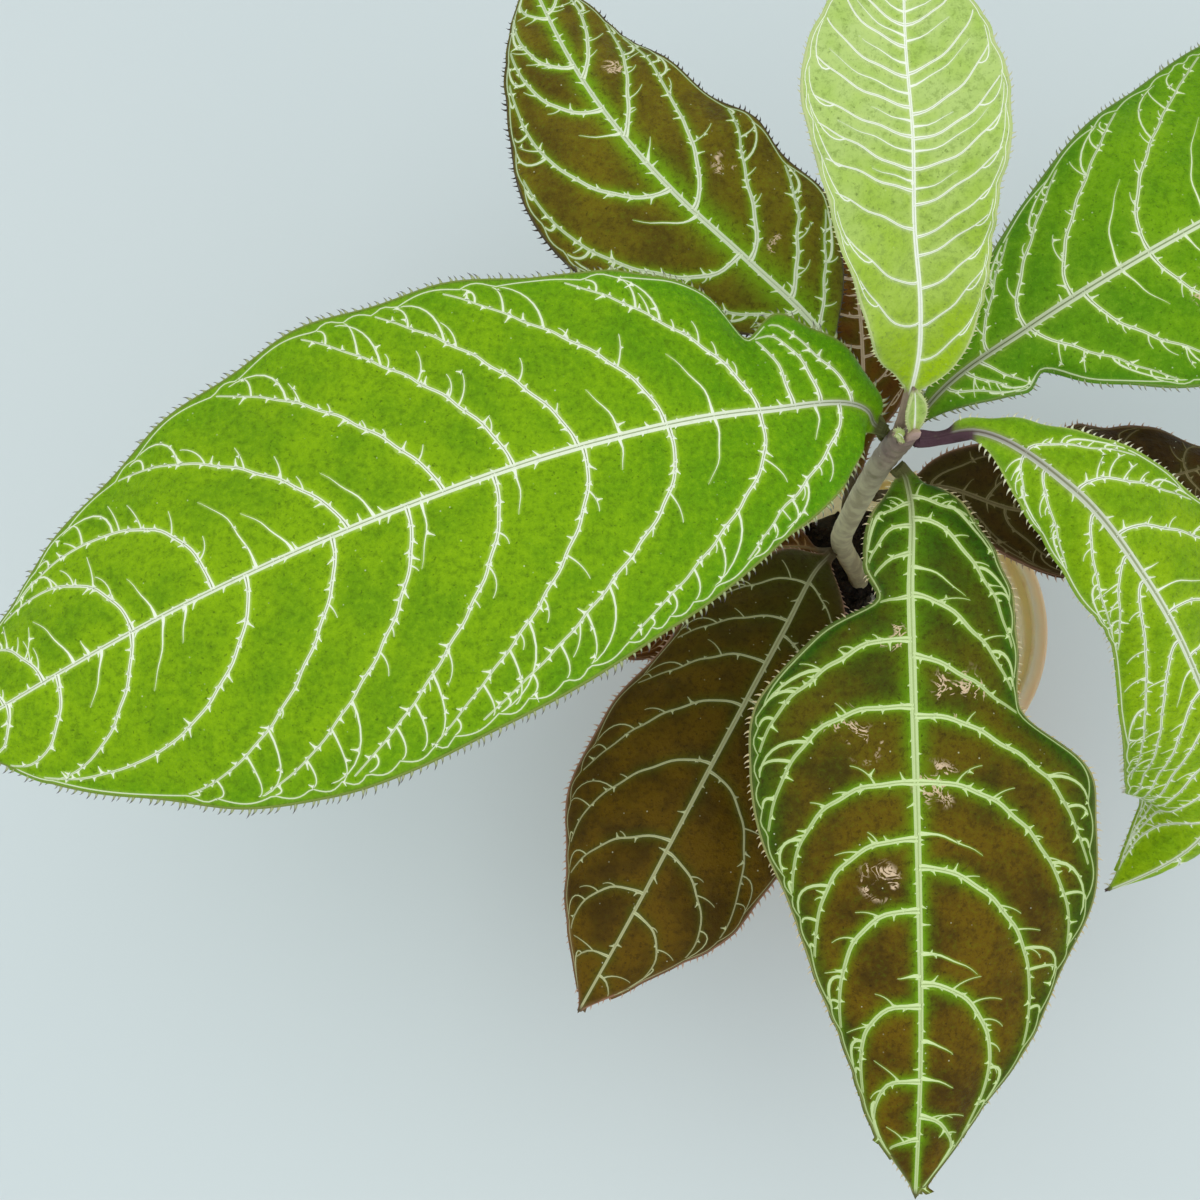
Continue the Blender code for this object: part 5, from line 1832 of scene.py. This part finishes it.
@dataclass
class Pot:
    """A 9 cm thin-walled nursery pot, turned about the vertical axis."""

    height: float = 80.0
    rim_radius: float = 45.0
    base_radius: float = 32.0
    wall: float = 1.2
    floor: float = 1.8
    band_height: float = 8.0
    band_width: float = 2.6
    ribs: int = 4
    first_rib: float = 58.0
    rib_step: float = 3.2
    lip: float = 1.2  # radius of its round outer edge
    sides: int = 144
    holes: int = 6
    hole_radius: float = 3.5
    hole_circle: float = 19.0
    hole_sides: int = 28
    plastic: Colour = tone(240, 186, 150)
    # Lighter and yellower than the outside: painted light shining through the thin wall.
    plastic_inside_lit: Colour = tone(252, 214, 160)
    # Painted highlight along the inner top edge of the rim.
    plastic_edge_highlight: Colour = tone(252, 232, 204)
    plastic_pale: Colour = tone(246, 212, 176)
    stain: Colour = tone(206, 160, 104)

    def inner(self, height: float) -> float:
        """Inner radius of the tapered wall at a height."""
        slope = (self.rim_radius - self.band_width - self.base_radius) / self.height
        return self.base_radius + slope * height - self.wall

    def profile(self) -> list[tuple[float, float]]:
        """The wall's profile.

        Returns:
            Pairs of radius and height, from the underside round to the floor.
        """
        top, band, rim = self.height, self.height - self.band_height, self.rim_radius
        inner, outer = self.inner(top), self.inner(band) + self.wall
        turns = [radians(90 * k / 5) for k in range(6)]
        foot = [(self.base_radius - 1 + sin(t), 1 - cos(t)) for t in turns]
        ribs = []
        for h in (self.first_rib + self.rib_step * k for k in range(self.ribs)):
            r = self.inner(h) + self.wall
            ribs += [(r - 0.05, h - 0.8), (r + 0.12, h), (r - 0.05, h + 0.8)]
        step = [(outer, band - 0.2), (outer + 0.2, band), (rim - 0.7, band), (rim - 0.55, band + 0.15)]
        middle, high = rim - self.lip, top - self.lip
        lip = [(middle + self.lip * cos(t), high + self.lip * sin(t)) for t in turns]
        edge = [(inner + 0.5, top), (inner + 0.15, top - 0.12), (inner, top - 0.5)]
        ledge = [(-0.42, 1.2), (-0.5, 1.6), (-0.5, 2.2), (-0.25, 2.6)]
        ledge = [(inner + aside, top - down) for aside, down in ledge]
        wall = [(self.inner(h), h) for h in (top - 3.4, band, 66, self.floor + 1.2)]
        floor = (self.inner(self.floor) - 1.0, self.floor)
        return [(self.base_radius - 6, 0.0), *foot, *ribs, *step, *lip, *edge, *ledge, *wall, floor]

    def material(self) -> Material:
        """Thin satin plastic with a painted highlight on its inner top edge, a tan inside that is lightened
        as painted light shining through the thin wall, and faint moulding marks.

        Returns:
            The material.
        """
        m = Finish("pot plastic")
        grain, cloud = m.noise(0.0009, 3), m.noise(0.02, 3)
        # Painted light: the inside is lighter, as if lit through the thin wall.
        colour = m.mix(self.plastic, self.plastic_inside_lit, m.attribute("inside"))
        # Painted highlight along the inner top edge.
        colour = m.mix(colour, self.plastic_edge_highlight, m.attribute("edge") * 0.8)
        stain = m.attribute("inside") * m.noise(0.006, 4, 0.7).between(0.5, 0.75)
        colour = m.mix(colour, self.stain, stain * 0.35)
        colour = m.mix(colour, self.plastic_pale, cloud.between(0.45, 0.7) * 0.25)
        through = {"Subsurface_Weight": 0.85, "Subsurface_Scale": 1.0}
        through["Subsurface_Radius"] = (0.02, 0.014, 0.009)
        return m.close(colour, 0.42 + 0.12 * cloud, m.relief(grain, 0.00008), **through)

    def build(self) -> Object:
        """Makes the pot with its drain holes cut.

        Returns:
            The finished piece.
        """
        ring = circle(self.sides)
        rows = [at_height(radius * ring, height) for radius, height in self.profile()]
        points = np.concatenate([*rows, [[0, 0, 0], [0, 0, self.floor]]])
        j = np.arange(self.sides)
        k = (j + 1) % self.sides
        end = len(rows) * self.sides
        last = end - self.sides
        faces = [
            strip_faces(len(rows), self.sides, closed=True),
            np.stack([k, j, np.full_like(j, end)], axis=1),
            np.stack([last + j, last + k, np.full_like(j, end + 1)], axis=1),
        ]
        radius, high = np.hypot(points[:, 0], points[:, 1]), points[:, 2]
        # The inside, which takes the painted light through the wall and the stains.
        inside = ((radius < self.inner(high) + 0.3) & (high > self.floor - 0.01)).astype(float)
        # Where the painted highlight lies: a thin band round the inner top edge.
        edge = bell(radius - self.inner(self.height) - 0.4, 0.5) * (high > self.height - 1.4)
        parts = Parts()
        parts.add(points, faces, 0, inside=inside, edge=edge)
        piece = parts.build("pot_full", [self.material()])
        self.drill(piece)
        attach(piece, "root")
        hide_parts("pot")
        return piece

    def drill(self, piece: Object) -> None:
        """Cuts the circle of drain holes.

        Args:
            piece: The pot, still without holes.
        """
        parts = Parts()
        ring = circle(self.hole_sides) * self.hole_radius
        for n in range(self.holes):
            turn = 2 * pi * (n + 0.5) / self.holes
            hole = np.array([cos(turn), sin(turn)]) * self.hole_circle + ring
            points = np.concatenate([at_height(hole, height) for height in (-4.0, 6.0)])
            parts.add(points, tube_faces(2, self.hole_sides), 0)
        cutter = parts.build("drain_cutter", [])
        cut = piece.modifiers.new("Drain holes", "BOOLEAN")
        cut.operation, cut.object, cut.solver = "DIFFERENCE", cutter, "EXACT"
        mesh = evaluated_mesh(piece)
        piece.modifiers.remove(cut)
        piece.data = mesh
        mesh.set_sharp_from_angle(angle=radians(40))
        bpy.data.objects.remove(cutter, do_unlink=True)


@dataclass
class Soil:
    """Damp potting soil with loose crumbs on its uneven top."""

    pot: Pot
    top: float = 62.0
    bump: float = 0.9
    play: float = 0.6
    foot: float = 0.3  # gap above the pot's floor
    rings: int = 46
    sides: int = 128
    crumbs: int = 1500
    pale_chance: float = 0.03
    seed: int = 5

    CRUMB_SIZES = np.array([(0.5, 0.8, 1.2, 2.0), (0.4, 0.35, 0.18, 0.07)])  # and their chances

    def height_at(self, x: float, y: float) -> float:
        """Height of the soil's top at a place, in mm.

        Args:
            x: Place to the right.
            y: Place away from the viewer.

        Returns:
            The height.
        """
        bumps = sin(0.31 * x + 0.7) * cos(0.27 * y) + 0.6 * sin(0.53 * y + 0.19 * x)
        fine = noise.fractal(Vector((x * 0.35, y * 0.35, 3.1)), 0.7, 2.1, 4)
        return self.top + self.bump * bumps + 0.8 * fine

    def build(self, crumb_tree: Tree) -> Object:
        """Makes the soil.

        Args:
            crumb_tree: The growth that strews crumbs.

        Returns:
            The finished piece.
        """
        floor = self.pot.floor + self.foot
        wall = self.pot.inner(self.top) - self.play
        ring = circle(self.sides)
        rows = [at_height(ring * (self.pot.inner(floor) - self.play), floor)]
        for share in np.linspace(1, 0.02, self.rings):
            flat = ring * wall * share
            high = [self.height_at(x, y) - (1.0 if share == 1 else 0) for x, y in flat]
            rows.append(at_height(flat, high))
        parts = Parts()
        parts.add(np.concatenate(rows), tube_faces(len(rows), self.sides), 0)
        material = self.material()
        self.strew(parts, crumb_tree, material, wall)
        piece = parts.build("soil_full", [material])
        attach(piece, "root")
        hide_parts("soil")
        return piece

    def strew(self, parts: Parts, tree: Tree, material: Material, wall: float) -> None:
        """Adds crumbs, chips and a few pale grains.

        Args:
            parts: The soil's mesh parts.
            tree: The growth of one crumb.
            material: The soil's material.
            wall: Radius of the soil's top.
        """
        rng = np.random.default_rng(self.seed)
        radius = wall * np.sqrt(rng.uniform(0, 1, self.crumbs)) * 0.985
        turn = rng.uniform(0, 2 * pi, self.crumbs)
        places = np.stack([radius * np.cos(turn), radius * np.sin(turn)], axis=1)
        size = rng.choice(self.CRUMB_SIZES[0], self.crumbs, p=self.CRUMB_SIZES[1])
        high = np.array([self.height_at(x, y) for x, y in places]) + 0.15 * size
        stretch = size[:, None] * rng.uniform(0.6, 1.5, (self.crumbs, 3)) * (1, 1, 0.6)
        vectors = {"aim": unit(rng.normal(size=(self.crumbs, 3))), "size": stretch}
        values = {"Seed": self.seed, "Material": material}
        mesh = grow(at_height(places, high), vectors, tree, values)
        points, faces = mesh_arrays(mesh)
        pale = (rng.uniform(0, 1, self.crumbs) < self.pale_chance).astype(float)
        pale = np.repeat(pale, len(points) // self.crumbs)
        parts.add(points, faces, 0, pale=pale, crumb=np.ones(len(points)))
        bpy.data.meshes.remove(mesh)

    @staticmethod
    def material() -> Material:
        """Nearly black soil with brown fibre and a damp shine here and there.

        Returns:
            The material.
        """
        m = Finish("potting soil")
        grain, damp = m.noise(0.0012, 4, 0.7), m.noise(0.009, 2)
        colour = m.mix(tone(28, 22, 18), tone(66, 50, 36), grain.between(0.4, 0.75))
        dry = m.attribute("crumb") * m.noise(0.004).between(0.6, 0.72) * 0.7
        colour = m.mix(colour, tone(92, 84, 72), dry)
        colour = m.mix(colour, tone(205, 200, 188), m.attribute("pale"))
        rough = 0.95 - 0.4 * damp.between(0.5, 0.7)
        return m.close(colour, rough, m.relief(grain + 0.6 * m.noise(0.0004, 2), 0.0006))


def crumb_tree() -> Tree:
    """The growth of one rough crumb on each point.

    Returns:
        The tree. Points hold aim and size.
    """
    growth = Growth("Crumbs", {"Radius": 1.0 * MM})
    given = growth.given
    inputs = {"Radius": given["Radius"], "Subdivisions": 1}
    ball = growth.add("GeometryNodeMeshIcoSphere", None, inputs).outputs[0]
    inputs = {"Vector": growth.read("aim")}
    turn = growth.add("FunctionNodeAlignRotationToVector", None, inputs).outputs[0]
    inputs = {"Points": given["Geometry"], "Instance": ball}
    inputs |= {"Rotation": turn, "Scale": growth.read("size")}
    return growth.close(growth.add("GeometryNodeInstanceOnPoints", None, inputs).outputs[0])


@dataclass
class Stem:
    """The short stem, ringed with scars of old leaves, and the closed bud at its top."""

    steps: int = 230
    sides: int = 32
    scars: tuple[float, ...] = (
        68.0, 75.0, 82.0, 90.0, 96.0, 102.0, 111.0, 122.0, 131.0, 140.0, 149.0, 153.0, 156.5, 159.5
    )
    crown: float = 145.0  # height above which the scars stand out
    swell: tuple[float, float] = (0.02, 0.2)  # of a scar, below the crown and at it
    bud_foot: tuple[float, float, float] = (-8.6, 22.4, 161.2)
    bud_tip: tuple[float, float, float] = (-7.2, 20.6, 168.5)
    bud_radius: float = 1.25
    bud_steps: int = 18
    bud_sides: int = 20

    def build(self) -> Object:
        """Makes the stem.

        Returns:
            The finished piece.
        """
        axis = even_curve(STEM_AXIS, self.steps)[0]
        ring = at_height(circle(self.sides), 0)
        swell, scar = np.zeros(len(axis)), np.zeros(len(axis))
        for height in self.scars:
            away = axis[:, 2] - height + 0.8
            swell += self.swell[height > self.crown] * bell(away, 1.0)
            scar = np.maximum(scar, bell(away, 0.5))
        radius = STEM_RADIUS - 0.12 + swell
        rough = [[noise.noise(Vector(place * 0.4 + way * 1.7)) for way in ring] for place in axis]
        reach = radius[:, None] + 0.1 * np.array(rough)
        points = axis[:, None] + ring * reach[..., None]
        young = np.clip((axis[:, 2] - 120) / 35, 0, 1)
        parts = Parts()
        numbers = {"young": np.repeat(young, self.sides), "scar": np.repeat(scar, self.sides)}
        parts.add(points.reshape(-1, 3), tube_faces(len(axis), self.sides), 0, **numbers)
        self.bud(parts)
        piece = parts.build("stem_full", [self.material()])
        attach(piece, "root")
        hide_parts("stem")
        return piece

    def bud(self, parts: Parts) -> None:
        """Adds the pointed bud of folded scales at the growing point.

        Args:
            parts: The stem's mesh parts.
        """
        foot, tip = np.array(self.bud_foot), np.array(self.bud_tip)
        run, turns = np.linspace(0, 1, self.bud_steps), even_turns(self.bud_sides)
        ahead = unit(tip - foot)
        aside = unit(np.cross(ahead, (0, 0, 1.0)))
        over = np.cross(ahead, aside)
        ring = aside * np.cos(turns)[:, None] + over * np.sin(turns)[:, None]
        reach = self.bud_radius * (np.sin(pi * (0.28 + 0.72 * run)) ** 0.8 + 0.02)
        fold = 1 + 0.12 * np.sin(3 * turns[None] + 5 * run[:, None])
        bend = np.array([0, 0, 1.0]) * (0.5 * np.sin(pi * run))[:, None]
        middle = foot + (tip - foot) * run[:, None] + bend
        points = (middle[:, None] + ring * (reach[:, None] * fold)[..., None]).reshape(-1, 3)
        ones = np.ones(len(points))
        parts.add(points, tube_faces(self.bud_steps, self.bud_sides), 0, bud=ones, young=ones)

    @staticmethod
    def material() -> Material:
        """Pale grey-brown bark that turns purplish and green towards the top.

        Returns:
            The material.
        """
        m = Finish("stem bark")
        grain, streak = m.noise(0.0011, 4, 0.65), m.noise(0.004, 3)
        young = m.attribute("young")
        colour = m.mix(tone(224, 218, 176), tone(194, 184, 146), streak.between(0.4, 0.65))
        colour = m.mix(colour, tone(118, 96, 92), young**2 * (0.6 + 0.5 * streak))
        colour = m.mix(colour, tone(104, 122, 66), young * streak.between(0.58, 0.75))
        colour = m.mix(colour, tone(130, 116, 100), m.attribute("scar") * 0.2)
        colour = m.mix(colour, tone(190, 160, 150), m.attribute("bud"))
        colour = m.mix(colour, tone(214, 206, 190), grain.between(0.62, 0.75) * 0.5)
        return m.close(colour, 0.55 + 0.15 * grain, m.relief(grain + streak, 0.00025))


@dataclass
class Studio:
    """Plain floor, soft light from above and the photograph's camera."""

    camera_place: tuple[float, float, float] = (-0.0783, -0.1012, 0.480)
    camera_tilt: float = 15.0
    lens: float = 45.0
    sensor: float = 36.0
    floor_half: float = 3.0
    backdrop: Colour = tone(208, 218, 218)
    backdrop_cloud: Colour = tone(215, 223, 222)
    air: Colour = tone(236, 242, 246)
    air_strength: float = 0.86

    def build(self) -> None:
        """Makes the floor, the lights and the camera."""
        self.floor()
        self.light("key", (-0.25, -0.1, 1.3), (-4, -10, 0), 1.5, 5.5)
        self.light("fill", (0.9, -0.8, 0.9), (48, 0, 48), 0.9, 2.0)
        world = bpy.data.worlds.new("pale room")
        bpy.context.scene.world = world
        world.use_nodes = True
        background = world.node_tree.nodes["Background"]
        background.inputs["Color"].default_value = (*self.air, 1.0)
        background.inputs["Strength"].default_value = self.air_strength
        camera = bpy.data.cameras.new("camera")
        camera.lens, camera.sensor_width = self.lens, self.sensor
        eye = bpy.data.objects.new("camera", camera)
        eye.location = self.camera_place
        eye.rotation_euler = (radians(self.camera_tilt), 0, 0)
        bpy.context.collection.objects.link(eye)
        bpy.context.scene.camera = eye
        bpy.context.scene.view_settings.view_transform = "Standard"

    def floor(self) -> None:
        """Lays the plain pale floor."""
        half = self.floor_half / MM
        parts = Parts()
        corners = [(-half, -half), (half, -half), (half, half), (-half, half)]
        parts.add(at_height(corners, 0.0), [np.array([[0, 1, 2, 3]])], 0)
        m = Finish("floor paper")
        colour = m.mix(self.backdrop, self.backdrop_cloud, m.noise(0.4))
        floor = parts.build("floor", [m.close(colour, 0.85 + 0.05 * m.noise(0.01))])

    @staticmethod
    def light(name: str, place: tuple, turn: tuple, size: float, power: float) -> None:
        """Adds a square soft light.

        Args:
            name: Its name.
            place: Where it stands, in metres.
            turn: Its rotation in degrees.
            size: Its side, in metres.
            power: Its power in watts.
        """
        lamp = bpy.data.lights.new(name, "AREA")
        lamp.size, lamp.energy = size, power
        thing = bpy.data.objects.new(name, lamp)
        thing.location, thing.rotation_euler = place, [radians(angle) for angle in turn]
        bpy.context.collection.objects.link(thing)


def note(piece: Object) -> None:
    """Reports a piece and how many triangles it has."""
    LOG.info("%s: %d triangles", piece.name, sum(len(p.vertices) - 2 for p in piece.data.polygons))


def main() -> None:
    """Builds the studio and every piece."""
    logging.basicConfig(level=logging.INFO, format="%(message)s")
    Studio().build()
    pot = Pot()
    note(pot.build())
    note(Soil(pot).build(crumb_tree()))
    note(Stem().build())
    bristles = bristle_tree()
    for shape in LEAVES:
        note(Leaf(shape, bristles).build())
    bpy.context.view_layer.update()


if __name__ == "__main__":
    main()
